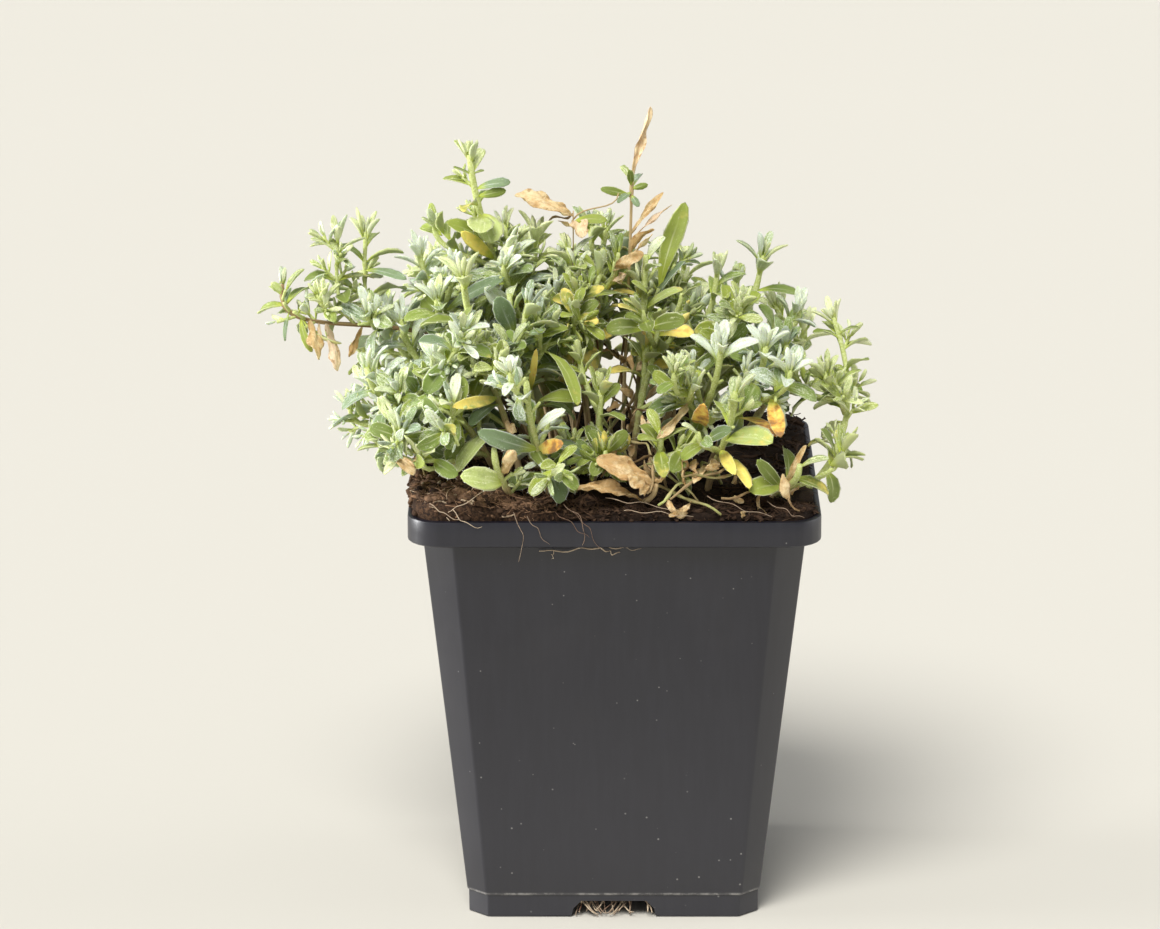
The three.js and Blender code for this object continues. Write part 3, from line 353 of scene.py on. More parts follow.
class Run:
    """The path of a shoot: one cubic curve. The solid stem is straight between a few of its points."""

    def __init__(self, *ends):
        self.ends = np.array(ends, float)
        self.length = np.linalg.norm(np.diff(self.at(np.arange(17) / 16), axis=0), axis=1).sum()
        self.rows = max(2, int(self.length / STEM_STEP + 0.5))

    def at(self, t):
        t = np.asarray(t, float)[..., None]
        u = 1 - t
        a, b, c, d = self.ends
        return u**3 * a + 3 * u * u * t * b + 3 * u * t * t * c + t**3 * d

    def toward(self, t):
        t = np.asarray(t, float)
        return unit(self.at(np.minimum(t + 1e-4, 1)) - self.at(np.maximum(t - 1e-4, 0)))

    def chord_at(self, t):
        row = min(self.rows - 1, int(t * self.rows))
        low, high = self.at(row / self.rows), self.at((row + 1) / self.rows)
        return low + (high - low) * (t * self.rows - row)


def soil_top(x, y):
    """Height of the soil: highest in the middle, with a heap at the front left and a few clumps"""
    reach = np.maximum(np.abs(x), np.abs(y)) / RIM_HALF
    middle = SOIL_HEAP * (1 - reach * reach)
    away = (x - HEAP.x) ** 2 / HEAP.width + (y - HEAP.y) ** 2 / HEAP.depth
    clumps = CLUMP.rise * np.sin(x * CLUMP.x + CLUMP.phase) * np.cos(y * CLUMP.y)
    return SOIL_LEVEL + middle + HEAP.rise * np.exp(-away) + clumps


def leaf_width(t):
    """Half-width share along a leaf: narrow at the stem, widest past the middle, blunt at the tip"""
    return np.sin(0.6 * math.pi * t) ** 0.9 * np.sqrt(np.maximum(0, 1 - t**7))


# Points of a leaf that stand for it where leaves keep clear of each other
SAMPLE_ROWS = 7
SAMPLE_T = np.repeat(np.arange(1, SAMPLE_ROWS + 1) / SAMPLE_ROWS, 3)
SAMPLE_ACROSS = np.tile((-0.9, 0.0, 0.9), SAMPLE_ROWS)


def leaf_frame(leaf, t):
    """Middle line, direction and upper normal of a leaf at shares of its length"""
    angle = leaf.arch * t
    run = np.sin(angle) / leaf.arch * leaf.length
    drop = (1 - np.cos(angle)) / leaf.arch * leaf.length
    middle = leaf.foot + np.outer(run, leaf.along) - np.outer(drop, leaf.face)
    normal = np.outer(np.cos(angle), leaf.face) + np.outer(np.sin(angle), leaf.along)
    ahead = np.outer(np.cos(angle), leaf.along) - np.outer(np.sin(angle), leaf.face)
    return middle, ahead, normal


def leaf_samples(leaf):
    middle, _, normal = leaf_frame(leaf, SAMPLE_T)
    across = SAMPLE_ACROSS * leaf.half * leaf_width(SAMPLE_T)
    return middle + np.outer(across, leaf.side) - normal * KEEL * 0.4


class Room:
    """Points that stand in the way, each with its node"""

    def __init__(self, size):
        self.points = np.zeros((size, 3))
        self.node = np.zeros(size, int)
        self.outer = np.zeros(size, bool)
        self.count = 0

    def claim(self, points, node):
        rows = slice(self.count, self.count + len(points))
        self.points[rows] = points
        self.node[rows] = node
        self.outer[rows] = np.arange(len(points)) >= OUTER
        self.count += len(points)

    def near(self, samples, reach):
        """Distances from each sample to each kept point in reach, and where those points are kept"""
        kept = self.points[:self.count]
        inside = (kept > samples.min(0) - reach) & (kept < samples.max(0) + reach)
        where = np.flatnonzero(inside.all(1))
        return np.linalg.norm(samples[:, None] - kept[where], axis=2), where


stem_room = Room(size=20000)
leaf_room = Room(size=120000)


def over_ground(p):
    reach = np.abs(p[:, :2]).max(1)
    top = np.maximum(soil_top(p[:, 0], p[:, 1]), POT_HEIGHT) + SOIL_CLEAR
    return (reach > RIM_HALF + RIM_CLEAR) | (p[:, 2] > top)


# How far a leaf stays from stems, from leaves of other stems and from those of its own
SOLID_ROOM = SimpleNamespace(stem=STEM_CLEAR, leaf=CLEAR, own=SELF_CLEAR, sight=False)
FINE_ROOM = SimpleNamespace(stem=0.9, leaf=0.75, own=0.5, sight=True)

# Points of the leaves that stand out, which the fine growth keeps in sight from the front.
# The camera looks down, so a point further back shows higher by a share of its depth.
VIEW_LIFT = 0.275
SIGHT = 1.6
BEHIND = 0.2
in_sight = []


def seen_from_front(p):
    """Across, height and depth of points as the front view shows them"""
    return np.stack((p[:, 0], p[:, 2] + VIEW_LIFT * p[:, 1], p[:, 1]), 1)


def hides(samples):
    """How many points of the leaves that stand out are behind these points in the front view"""
    seen = seen_from_front(samples)[:, None]
    kept = np.concatenate(in_sight)
    near = (np.abs(seen[..., :2] - kept[None, :, :2]) < SIGHT).all(2)
    return (near & (seen[..., 2] < kept[None, :, 2] - BEHIND)).any(0).sum()


def is_clear(samples, node, room):
    if not over_ground(samples).all() or room.sight and hides(samples):
        return False
    away, where = stem_room.near(samples, room.stem)
    if (away[:, stem_room.node[where] != node] < room.stem).any():
        return False
    away, where = leaf_room.near(samples, room.leaf)
    own = leaf_room.node[where] == node
    if (away[:, ~own] < room.leaf).any():
        return False
    far = own & leaf_room.outer[where]
    return not (away[OUTER:, far] < room.own).any()


# Other ways to set a leaf that would touch its neighbours: a turn, a tilt and a share of its length
WAYS = (
    (0, 0, 1), (20, 0, 1), (-20, 0, 1), (0, 16, 1), (0, -16, 1), (34, 8, 1), (-34, 8, 1),
    (20, -14, 0.9), (-20, -14, 0.9), (0, 26, 0.85), (0, 0, 0.78), (26, 10, 0.72), (-26, 10, 0.72),
)


def leaf_at(run, t, around, down, roll):
    """Where a leaf starts on a stem and which way it lies, angles in degrees"""
    toward = run.toward(t)
    out = laid_along(np.array((math.cos(around * DEG), math.sin(around * DEG), 0.0)), toward)
    rise, spread = math.cos(down * DEG), math.sin(down * DEG)
    along = toward * rise + out * spread
    face = turned(toward * spread - out * rise, along, roll * DEG)
    sunk = max(0.0, STEM_TIP * math.sqrt(0.5) - FOOT_SUNK * spread)
    return SimpleNamespace(foot=run.chord_at(t) + out * sunk, along=along, face=face,
                           side=np.cross(face, along))


def grow_pairs(plan, node, draw, room, first=0, last=None, below=FIRST_PAIR):
    """Leaf pairs of a shoot, upright and small at the tip, larger and more open below"""
    leaves = []
    last = plan.pairs if last is None else last
    for pair in range(first, last):
        t = 1 - below / plan.run.length
        if t < plan.bare:
            break
        size = plan.leaf * min(1, GROWING.tip + GROWING.step * pair)
        open_ = min(OPENING.most, OPENING.tip + OPENING.step * pair) + plan.open
        for twin in range(2):
            yaw = plan.yaw + 90 * pair + 180 * twin + draw(-13, 13)
            pitch = open_ + draw(-8, 8)
            span = size * draw(0.88, 1.1)
            arch = (ARCHING.tip + ARCHING.step * pair + draw(-8, 14)) * DEG
            roll = draw(-22, 22)
            for turn, tilt, share in WAYS:
                leaf = leaf_at(plan.run, t, yaw + turn, pitch + tilt, roll)
                leaf.arch, leaf.length, leaf.half = arch, span * share, 0.5 * LEAF_RATIO * size
                leaf.pair, leaf.look = pair, FRESH
                samples = leaf_samples(leaf)
                if is_clear(samples, node, room):
                    leaf_room.claim(samples, node)
                    leaves.append(leaf)
                    break
        plan.nodes.append((t, yaw))
        below += plan.gap * min(1, SPACING.tip + SPACING.step * pair)
    plan.below = below
    return leaves


def lay(leaf, chord, top):
    """Lays a leaf along the line from its foot to its tip, with its back arched to one side"""
    half = leaf.arch / 2
    leaf.along = chord * math.cos(half) + top * math.sin(half)
    leaf.face = top * math.cos(half) - chord * math.sin(half)
    leaf.side = np.cross(leaf.face, leaf.along)


def set_leaf(own, plans, node):
    """A single leaf that is placed by its own tip"""
    foot = plans[own.on].run.chord_at(own.t)
    chord = np.array(own.to, float) - foot
    arch = own.arch * DEG
    length = np.linalg.norm(chord) * arch / 2 / math.sin(arch / 2)
    chord = unit(chord)
    top = turned(np.cross(chord, unit(np.cross(UP, chord))), chord, own.roll * DEG)
    given = {key: value for key, value in (("twist", own.twist), ("fold", own.fold)) if value is not None}
    leaf = SimpleNamespace(foot=foot, arch=arch, length=length, half=own.wide / 2, pair=4, look=own.look,
                           given=given)
    lay(leaf, chord, top)
    leaf_room.claim(leaf_samples(leaf), node)
    if own.faces:
        faces = np.array(own.faces, float)
        lay(leaf, chord, unit(faces - chord * (faces @ chord)))
    return leaf


def plan_shoots(row):
    """The runs of a stem and its branches, from the soil to their tips"""
    x, y = row.root
    foot = np.array((x, y, soil_top(x, y) - HOLE_DEPTH))
    plans = []
    for index, part in enumerate(row.shoots):
        tip = np.array(part.tip, float)
        main = plans[0].run if plans else None
        start_at = main.chord_at(part.t) if main else foot
        outward = np.array((tip[0] - start_at[0], tip[1] - start_at[1], 0.0))
        if main:
            start = unit(main.toward(part.t) + unit(tip - start_at))
        else:
            start = unit(outward * 0.25 / max(1, tip[2] - start_at[2]) + UP)
        reach = np.linalg.norm(tip - start_at) * BEND
        lean = unit(outward * 0.006 + UP)
        middle = part.via or (start_at + start * reach, tip - lean * reach)
        plans.append(SimpleNamespace(
            run=Run(start_at, *middle, tip), leaf=part.leaf * LEAF_GROWN, pairs=part.pairs, gap=part.gap,
            open=part.open, yaw=35 + 47 * index + 29 * abs(math.fmod(tip[0], 7)),
            bare=0.12 if main else 0.2, nodes=[], thin=row.thin, low=not main))
    return plans


# Forms: small closed shapes that are copied many times, each copy bent into place

LEAF, STEM, WOOL, DRY = range(4)
HAIR_ROOT = 0.024
HAIR_SUNK = 0.1


class Form:
    """A closed shape made once. Its points say where each one goes on the grown copy."""

    def __init__(self, build):
        bm = bmesh.new()
        build(bm)
        for face in bm.faces:
            face.smooth = True
        self.mesh = bpy.data.meshes.new("form")
        bm.to_mesh(self.mesh)
        bm.free()
        self.points = np.array([vertex.co for vertex in self.mesh.vertices])


def add_hair(bm, turn, rise, height):
    """A thin cone that stands on the unit ball, its root sunk in"""
    direction = Vector((math.cos(turn) * math.cos(rise), math.sin(turn) * math.cos(rise), math.sin(rise)))
    upright = direction.to_track_quat("Z", "Y").to_matrix().to_4x4()
    stand = Matrix.Translation(direction * (1 - HAIR_SUNK + height / 2)) @ upright
    made = bmesh.ops.create_cone(bm, cap_ends=True, segments=3, radius1=HAIR_ROOT, radius2=0,
                                 depth=height + 2 * HAIR_SUNK, matrix=stand)
    for face in {face for vertex in made["verts"] for face in vertex.link_faces}:
        face.material_index = WOOL


def blade_form(around, along, hairs, slot=LEAF):
    """A leaf blade as a ball: its Z is the length, its X the width. Hairs stand along the edge."""
    draw = make_draw(seed=31 + around * along)

    def build(bm):
        bmesh.ops.create_uvsphere(bm, u_segments=around, v_segments=along, radius=1)
        for face in bm.faces:
            face.material_index = slot
        for count in range(hairs):
            turn = (count % 2) * math.pi + draw(-0.5, 0.5)
            rise = -0.9 + 2.3 * (count + draw(0, 1)) / hairs
            add_hair(bm, turn, rise, height=draw(0.35, 0.8))

    form = Form(build)
    away = np.linalg.norm(form.points, axis=1)
    ball = form.points / away[:, None]
    form.out = away - 1
    form.ball = ball
    form.ring = np.sqrt(np.maximum(1e-9, 1 - ball[:, 2] ** 2))
    form.t = (1 + ball[:, 2]) / 2
    form.across = np.where(form.ring > 1e-3, ball[:, 0] / form.ring, 0)
    form.upper = np.where(form.ring > 1e-3, ball[:, 1] / form.ring, 0)
    return form


def tube_form(sides, rows, slot=STEM):
    """A closed tube of unit radius and height, cut into rows"""

    def build(bm):
        bmesh.ops.create_cone(bm, cap_ends=True, cap_tris=True, segments=sides, radius1=1, radius2=1, depth=1)
        long = [e for e in bm.edges if abs(e.verts[0].co.z - e.verts[1].co.z) > 0.5]
        if rows > 1:
            bmesh.ops.subdivide_edges(bm, edges=long, cuts=rows - 1)
        for face in bm.faces:
            face.material_index = slot

    form = Form(build)
    form.t = form.points[:, 2] + 0.5
    form.spread = np.hypot(form.points[:, 0], form.points[:, 1])
    form.turn = np.arctan2(form.points[:, 1], form.points[:, 0])
    form.row = np.rint(form.t * rows).astype(int)
    form.column = np.rint(form.turn / (2 * math.pi) * sides).astype(int) % sides
    return form


SWELL = 0.22
SWELL_REACH = 0.8


def blade_width(t, point):
    """Outline of a leaf between the spoon of the solid leaf and a blunt point"""
    pointed = np.sin(math.pi * t**1.3) ** 0.8 + 0.16 * (1 - t) ** 2 * np.sqrt(t)
    return leaf_width(t) * (1 - point) + pointed * point


def blade_points(leaf, form):
    """Points of a leaf: a thin lens along an arc, folded along its midrib, with a waved edge and a twist"""
    middle, ahead, normal = leaf_frame(leaf, form.t)
    turn = (leaf.twist * form.t)[:, None]
    side = leaf.side * np.cos(turn) + normal * np.sin(turn)
    normal = normal * np.cos(turn) - leaf.side * np.sin(turn)
    ragged = np.sin(leaf.phase * 3 + 13 * form.t) + 0.6 * np.sin(leaf.phase + 31 * form.t + form.across)
    half = leaf.half * blade_width(form.t, leaf.point) * (1 + leaf.nick * ragged)
    creases = np.abs(np.sin(5 * form.t + 2.2 * form.across + leaf.phase)) - 0.5
    creases = creases + 0.7 * np.abs(np.sin(11 * form.t - 3.5 * form.across - leaf.phase))
    creases = creases + 0.4 * np.sin(23 * form.t + leaf.phase) * np.sin(7 * form.across + leaf.phase)
    rim = form.across**2
    wave = leaf.wave * rim * np.sin(leaf.phase + 11 * form.t + 1.7 * np.sign(form.across))
    thick = leaf.thick * np.sqrt(form.ring) * form.upper
    groove = 0.35 * leaf.thick * np.maximum(0, form.upper) ** 8
    lift = leaf.fold * half * rim + wave * form.ring + thick - groove + leaf.crumple * form.ring * creases
    hair = side * form.ball[:, :1] + normal * form.ball[:, 1:2] + ahead * form.ball[:, 2:]
    hair = hair * (form.out * leaf.fuzz)[:, None]
    return middle + side * (form.across * half)[:, None] + normal * lift[:, None] + hair


def tube_points(run, form, low, high, nodes=(), flat=1.0):
    """Points of a stem that tapers from low to high along a run and swells at the nodes, where leaves grow"""
    toward = run.toward(form.t)
    radius = low + (high - low) * form.t
    for t in nodes:
        radius = radius + SWELL * np.exp(-(((form.t - t) * run.length / SWELL_REACH) ** 2))
    out = np.stack((np.cos(form.turn), flat * np.sin(form.turn), np.zeros(len(form.turn))), 1)
    return run.at(form.t) + laid_along(out, toward) * (radius * form.spread)[:, None]


def tube_places(form):
    return np.stack((form.t, np.cos(form.turn), np.sin(form.turn)), 1)


class Growth:
    """One piece, gathered from bent copies of forms. Each point keeps its place on the blade or stem
    and the look of its copy, which the materials read."""

    def __init__(self):
        self.bm = bmesh.new()
        self.points = []
        self.places = []
        self.looks = []

    def add(self, form, points, place, look):
        self.bm.from_mesh(form.mesh)
        self.points.append(points)
        self.places.append(place)
        self.looks.append(np.broadcast_to(np.array(look, float), (len(points), 3)))

    def add_blade(self, form, leaf):
        place = np.stack((form.t, form.across, form.upper), 1)
        self.add(form, blade_points(leaf, form), place, leaf.tone)

    def add_tube(self, form, run, low, high, look, nodes=()):
        self.add(form, tube_points(run, form, low, high, nodes), tube_places(form), look)

    def finish(self, name, slot, materials, *nodes):
        mesh = bpy.data.meshes.new(name)
        self.bm.to_mesh(mesh)
        self.bm.free()
        points = np.concatenate(self.points) * MM + AXIS
        mesh.vertices.foreach_set("co", points.ravel())
        for label, values in (("place", self.places), ("look", self.looks)):
            layer = mesh.attributes.new(label, "FLOAT_VECTOR", "POINT")
            layer.data.foreach_set("vector", np.concatenate(values).ravel())
        for material in materials:
            mesh.materials.append(material)
        mesh.update()
        return show(name, mesh, slot, *nodes)


def show(name, mesh, slot, *nodes):
    piece = bpy.data.objects.new(name, mesh)
    bpy.context.scene.collection.objects.link(piece)
    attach(piece, "root")
    if nodes:
        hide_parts(*nodes)
    return piece


# Shared effects, each a group of nodes that is made once and placed in the materials

SEED_APART = 40.0


def link(tree, value, socket):
    """A node's output is joined to a socket, anything else is its value"""
    if isinstance(value, bpy.types.NodeSocket):
        tree.links.new(value, socket)
    elif value is not None:
        socket.default_value = value


def put(tree, kind, values=(), **settings):
    node = tree.nodes.new(kind)
    for key, value in settings.items():
        setattr(node, key, value)
    for key, value in dict(values).items():
        link(tree, value, node.inputs[key])
    return node


def calc(tree, operation, a, b=None):
    return put(tree, "ShaderNodeMath", {0: a, 1: b}, operation=operation).outputs[0]


def add(tree, total, *more):
    for value in more:
        total = calc(tree, "ADD", total, value)
    return total


def times(tree, a, b):
    return calc(tree, "MULTIPLY", a, b)


def mix(tree, factor, a, b):
    return put(tree, "ShaderNodeMix", {0: factor, 6: a, 7: b}, data_type="RGBA").outputs[2]


def fade(tree, value, low, high, to_low=0.0, to_high=1.0):
    """A share that goes smoothly from one value to another"""
    values = {0: value, 1: low, 2: high, 3: to_low, 4: to_high}
    return put(tree, "ShaderNodeMapRange", values, interpolation_type="SMOOTHSTEP").outputs[0]


def over(tree, colour, new, value, low, high, most=1.0):
    """A colour with another laid over it, more of it as a value goes from low to high"""
    return mix(tree, fade(tree, value, low, high, 0.0, most), colour, new)


def attribute(tree, name):
    node = put(tree, "ShaderNodeAttribute", attribute_name=name)
    return put(tree, "ShaderNodeSeparateXYZ", {0: node.outputs["Vector"]}).outputs


def noise(tree, place, scale, detail, rough):
    values = {"Vector": place, "Scale": scale, "Detail": detail, "Roughness": rough}
    return put(tree, "ShaderNodeTexNoise", values).outputs["Fac"]


def start_effect(name, numbers, output, vectors=()):
    """A group with named sockets, each input given as its name and first value"""
    tree = bpy.data.node_groups.new(name, "ShaderNodeTree")
    for kind, inputs in (("NodeSocketFloat", numbers), ("NodeSocketVector", vectors)):
        for label, value in inputs:
            socket = tree.interface.new_socket(label, in_out="INPUT", socket_type=kind)
            socket.default_value = value
    tree.interface.new_socket(output, in_out="OUTPUT", socket_type="NodeSocketFloat")
    return tree, tree.nodes.new("NodeGroupInput").outputs, tree.nodes.new("NodeGroupOutput").inputs


def make_grain():
    """Grain of a size in millimetres, in the object's own space"""
    numbers = (("Size", 1.0), ("Detail", 3.0), ("Roughness", 0.55))
    tree, given, out = start_effect("grain", numbers, "Grain", [("Stretch", (1, 1, 1))])
    place = put(tree, "ShaderNodeTexCoord").outputs["Object"]
    stretched = {0: place, 1: given["Stretch"]}
    place = put(tree, "ShaderNodeVectorMath", stretched, operation="MULTIPLY").outputs[0]
    scale = calc(tree, "DIVIDE", 1 / MM, given["Size"])
    link(tree, noise(tree, place, scale, given["Detail"], given["Roughness"]), out["Grain"])
    return tree


def make_strands():
    """Streaks along a leaf or stem: hairs that lie flat on a fresh leaf, veins on a dry one"""
    numbers = (("Seed", 0.0), ("Across", 1.6), ("Scale", 2.6))
    tree, given, out = start_effect("strands", numbers, "Strands")
    t, across, _ = attribute(tree, "place")
    place = {0: t, 1: times(tree, across, given["Across"]), 2: times(tree, given["Seed"], SEED_APART)}
    place = put(tree, "ShaderNodeCombineXYZ", place).outputs[0]
    link(tree, noise(tree, place, given["Scale"], 4.0, 0.7), out["Strands"])
    return tree


GRAIN = make_grain()
STRANDS = make_strands()


def grain(tree, size, detail=3.0, rough=0.55, stretch=(1, 1, 1)):
    values = {"Size": size, "Detail": detail, "Roughness": rough, "Stretch": stretch}
    return put_group(tree, GRAIN, values)


def strands(tree, seed, across, scale):
    return put_group(tree, STRANDS, {"Seed": seed, "Across": across, "Scale": scale})


def put_group(tree, group, values):
    node = put(tree, "ShaderNodeGroup", node_tree=group)
    for key, value in values.items():
        link(tree, value, node.inputs[key])
    return node.outputs[0]


def start_material(name, rough, shine):
    material = bpy.data.materials.new(name)
    material.use_nodes = True
    shader = material.node_tree.nodes["Principled BSDF"]
    shader.inputs["Roughness"].default_value = rough
    shader.inputs["Specular IOR Level"].default_value = shine
    return material, material.node_tree, shader


def let_light_through(shader, weight, radius, depth):
    shader.inputs["Subsurface Weight"].default_value = weight
    shader.inputs["Subsurface Radius"].default_value = radius
    shader.inputs["Subsurface Scale"].default_value = depth * MM


def bump(tree, shader, height, depth, strength=1.0):
    node = put(tree, "ShaderNodeBump", {"Height": height, "Distance": depth * MM, "Strength": strength})
    tree.links.new(node.outputs["Normal"], shader.inputs["Normal"])


# Colours of the plant

YOUNG = (0.46, 0.54, 0.22, 1)
LIME = (0.50, 0.58, 0.20, 1)
OLIVE = (0.31, 0.37, 0.05, 1)
MATURE = (0.22, 0.30, 0.06, 1)
GREY_GREEN = (0.20, 0.275, 0.145, 1)
# Deepest leaf green, a colour of shaded leaves: partly painted shade
DEEP_GREEN_AND_SHADE = (0.070, 0.105, 0.018, 1)
CREAMY_WOOL = (0.84, 0.87, 0.55, 1)
SILVERY_WOOL = (0.82, 0.88, 0.81, 1)
# Yellow-green of a leaf's foot, made bright as painted glow of light through the leaf
LEAF_FOOT_AND_GLOW = (0.48, 0.56, 0.06, 1)
STEM_GREEN = (0.43, 0.50, 0.12, 1)
GOLD = (0.90, 0.72, 0.17, 1)
ORANGE = (0.74, 0.36, 0.07, 1)
WOODY = (0.17, 0.10, 0.042, 1)
WORN_WOOD = (0.50, 0.37, 0.19, 1)
TAN = (0.60, 0.39, 0.17, 1)
STRAW = (0.86, 0.68, 0.40, 1)
PEACH = (0.93, 0.72, 0.52, 1)
VEIN_BROWN = (0.33, 0.17, 0.06, 1)
HAIR_DULL = (0.74, 0.77, 0.62, 1)
HAIR_BRIGHT = (0.92, 0.93, 0.83, 1)

# Colours of the peat and the roots

PEAT_DARK = (0.012, 0.007, 0.005, 1)
PEAT_LIGHT = (0.13, 0.070, 0.038, 1)
PEAT_CLUMP = (0.030, 0.017, 0.010, 1)
# Dark shred colour where the peat's light share is low: darker peat and painted shade under the plant
SHRED_DARK_AND_SHADED = (0.030, 0.016, 0.010, 1)
SHRED_DRY = (0.42, 0.245, 0.14, 1)
SHRED_PALE = (0.66, 0.52, 0.36, 1)
SHRED_SPECK = (0.026, 0.014, 0.009, 1)
ROOT_DARK = (0.14, 0.065, 0.040, 1)
ROOT_LIGHT = (0.70, 0.58, 0.42, 1)
ROOT_SPECK = (0.20, 0.11, 0.06, 1)

# Colours of the pot

BLACK = (0.004, 0.004, 0.010, 1)
BLACK_DRAWN = (0.007, 0.007, 0.014, 1)
HANDLED = (0.024, 0.022, 0.026, 1)
DUSTY = (0.045, 0.045, 0.055, 1)
DUST = (0.30, 0.29, 0.28, 1)


def leaf_green(tree, tone, bare, blotch):
    """Skin of a leaf under its wool, yellow-green when young and deeper where it is bare; the deepest green
    is a colour of leaves in shade, so it is partly painted shade
    """
    green = over(tree, LIME, OLIVE, tone, -0.2, 0.1)
    green = over(tree, green, MATURE, tone, 0.1, 0.5)
    green = over(tree, green, GREY_GREEN, tone, 0.55, 0.95)
    grown = over(tree, YOUNG, green, bare, 0.05, 0.4)
    grown = over(tree, grown, DEEP_GREEN_AND_SHADE, bare, 0.6, 1.0, 0.6)
    return over(tree, grown, DEEP_GREEN_AND_SHADE, blotch, 0.45, 0.8, 0.35)


def leaf_material():
    """place is the share along, across and towards the upper side. look is how bare of wool the leaf is,
    how yellow, and its tone: lime below 0, olive, green, and grey at 1."""
    material, tree, shader = start_material("woolly_leaf", 0.6, 0.35)
    t, across, upper = attribute(tree, "place")
    bare, yellow, tone = attribute(tree, "look")
    edge = calc(tree, "ABSOLUTE", across)
    blotch = grain(tree, 2.2)
    fuzz = grain(tree, 0.35, 4, 0.7)
    strand = strands(tree, tone, 1.6, 2.6)
    grown = leaf_green(tree, tone, bare, blotch)

    turning = add(tree, times(tree, blotch, 1.2), times(tree, t, 0.3), yellow)
    gold = fade(tree, turning, 1.15, 1.8)
    grown = mix(tree, gold, grown, GOLD)
    grown = over(tree, grown, ORANGE, turning, 1.85, 2.25)
    grown = over(tree, grown, VEIN_BROWN, add(tree, turning, times(tree, fuzz, 0.3)), 2.25, 2.5)

    cover = add(tree, times(tree, strand, 0.65), 0.04, times(tree, fuzz, 0.5))
    cover = add(tree, cover, fade(tree, bare, 0.0, 0.8, 0.13, -0.1))
    wool = fade(tree, cover, 0.56, 0.79, 0, 0.82)
    margin = times(tree, fade(tree, edge, 0.8, 1.0, 0, 0.75), fade(tree, fuzz, 0.3, 0.6, 0.4, 1))
    wool = calc(tree, "MAXIMUM", wool, margin)
    wool = calc(tree, "MAXIMUM", wool, fade(tree, upper, 0.1, -0.35, 0, 0.4))
    rib = times(tree, fade(tree, edge, 0.14, 0.02), fade(tree, t, 0.9, 0.3, 0, 0.4))
    cloth = times(tree, calc(tree, "MAXIMUM", wool, rib), fade(tree, gold, 0, 1, 1, 0.45))
    silver = over(tree, CREAMY_WOOL, SILVERY_WOOL, tone, 0.3, 0.85)
    colour = mix(tree, cloth, grown, silver)
    # Leaf feet go bright yellow-green: their own colour, with painted glow of light shining through
    colour = over(tree, colour, LEAF_FOOT_AND_GLOW, t, 0.45, 0.06, 0.8)
    link(tree, colour, shader.inputs["Base Color"])
    shader.inputs["Sheen Weight"].default_value = 0.08
    let_light_through(shader, 0.25, (0.8, 1.0, 0.3), 0.7)
    bump(tree, shader, cover, 0.14, 0.7)
    return material


def stem_material():
    """Woolly yellow-green above and brown below. look is how green the foot is, how green the tip is
    and how worn the wood is, which is its seed too."""
    material, tree, shader = start_material("woolly_stem", 0.7, 0.3)
    t, _, _ = attribute(tree, "place")
    foot, tip, worn = attribute(tree, "look")
    wool = grain(tree, 0.4, 4, 0.7)
    blotch = grain(tree, 3.0)
    green = put(tree, "ShaderNodeMapRange", {0: t, 1: 0.0, 2: 1.0, 3: foot, 4: tip}).outputs[0]
    green = fade(tree, add(tree, green, times(tree, blotch, 0.5)), 0.5, 0.85)
    fresh = over(tree, STEM_GREEN, OLIVE, blotch, 0.45, 0.7, 0.6)
    fresh = mix(tree, fade(tree, wool, 0.4, 0.7, 0.1, 0.6), fresh, CREAMY_WOOL)
    streak = add(tree, strands(tree, worn, 0.8, 6.0), fade(tree, worn, 0.0, 2.0, -0.12, 0.4))
    woody = over(tree, WOODY, WORN_WOOD, streak, 0.4, 0.68)
    link(tree, mix(tree, green, woody, fresh), shader.inputs["Base Color"])
    bump(tree, shader, wool, 0.15, 0.6)
    return material


def wool_material():
    material, tree, shader = start_material("wool", 0.85, 0.2)
    link(tree, mix(tree, grain(tree, 1.5), HAIR_DULL, HAIR_BRIGHT), shader.inputs["Base Color"])
    return material


def dry_material():
    """look is how pale, how peach and a seed"""
    material, tree, shader = start_material("withered", 0.65, 0.3)
    _, across, _ = attribute(tree, "place")
    pale, peach, seed = attribute(tree, "look")
    veins = strands(tree, seed, 3.0, 3.5)
    blotch = grain(tree, 1.8, 5, 0.65)
    spots = add(tree, times(tree, calc(tree, "ABSOLUTE", across), 0.35), grain(tree, 1.1, 4, 0.6))
    colour = over(tree, TAN, STRAW, add(tree, blotch, times(tree, pale, 0.3)), 0.45, 0.75)
    colour = over(tree, colour, PEACH, peach, 0.5, 0.9, 0.85)
    colour = over(tree, colour, VEIN_BROWN, veins, 0.5, 0.7, 0.55)
    colour = over(tree, colour, VEIN_BROWN, spots, 0.78, 0.92, 0.7)
    link(tree, colour, shader.inputs["Base Color"])
    let_light_through(shader, 0.2, (1.0, 0.7, 0.4), 0.6)
    bump(tree, shader, add(tree, blotch, times(tree, veins, 0.5)), 0.3, 0.8)
    return material


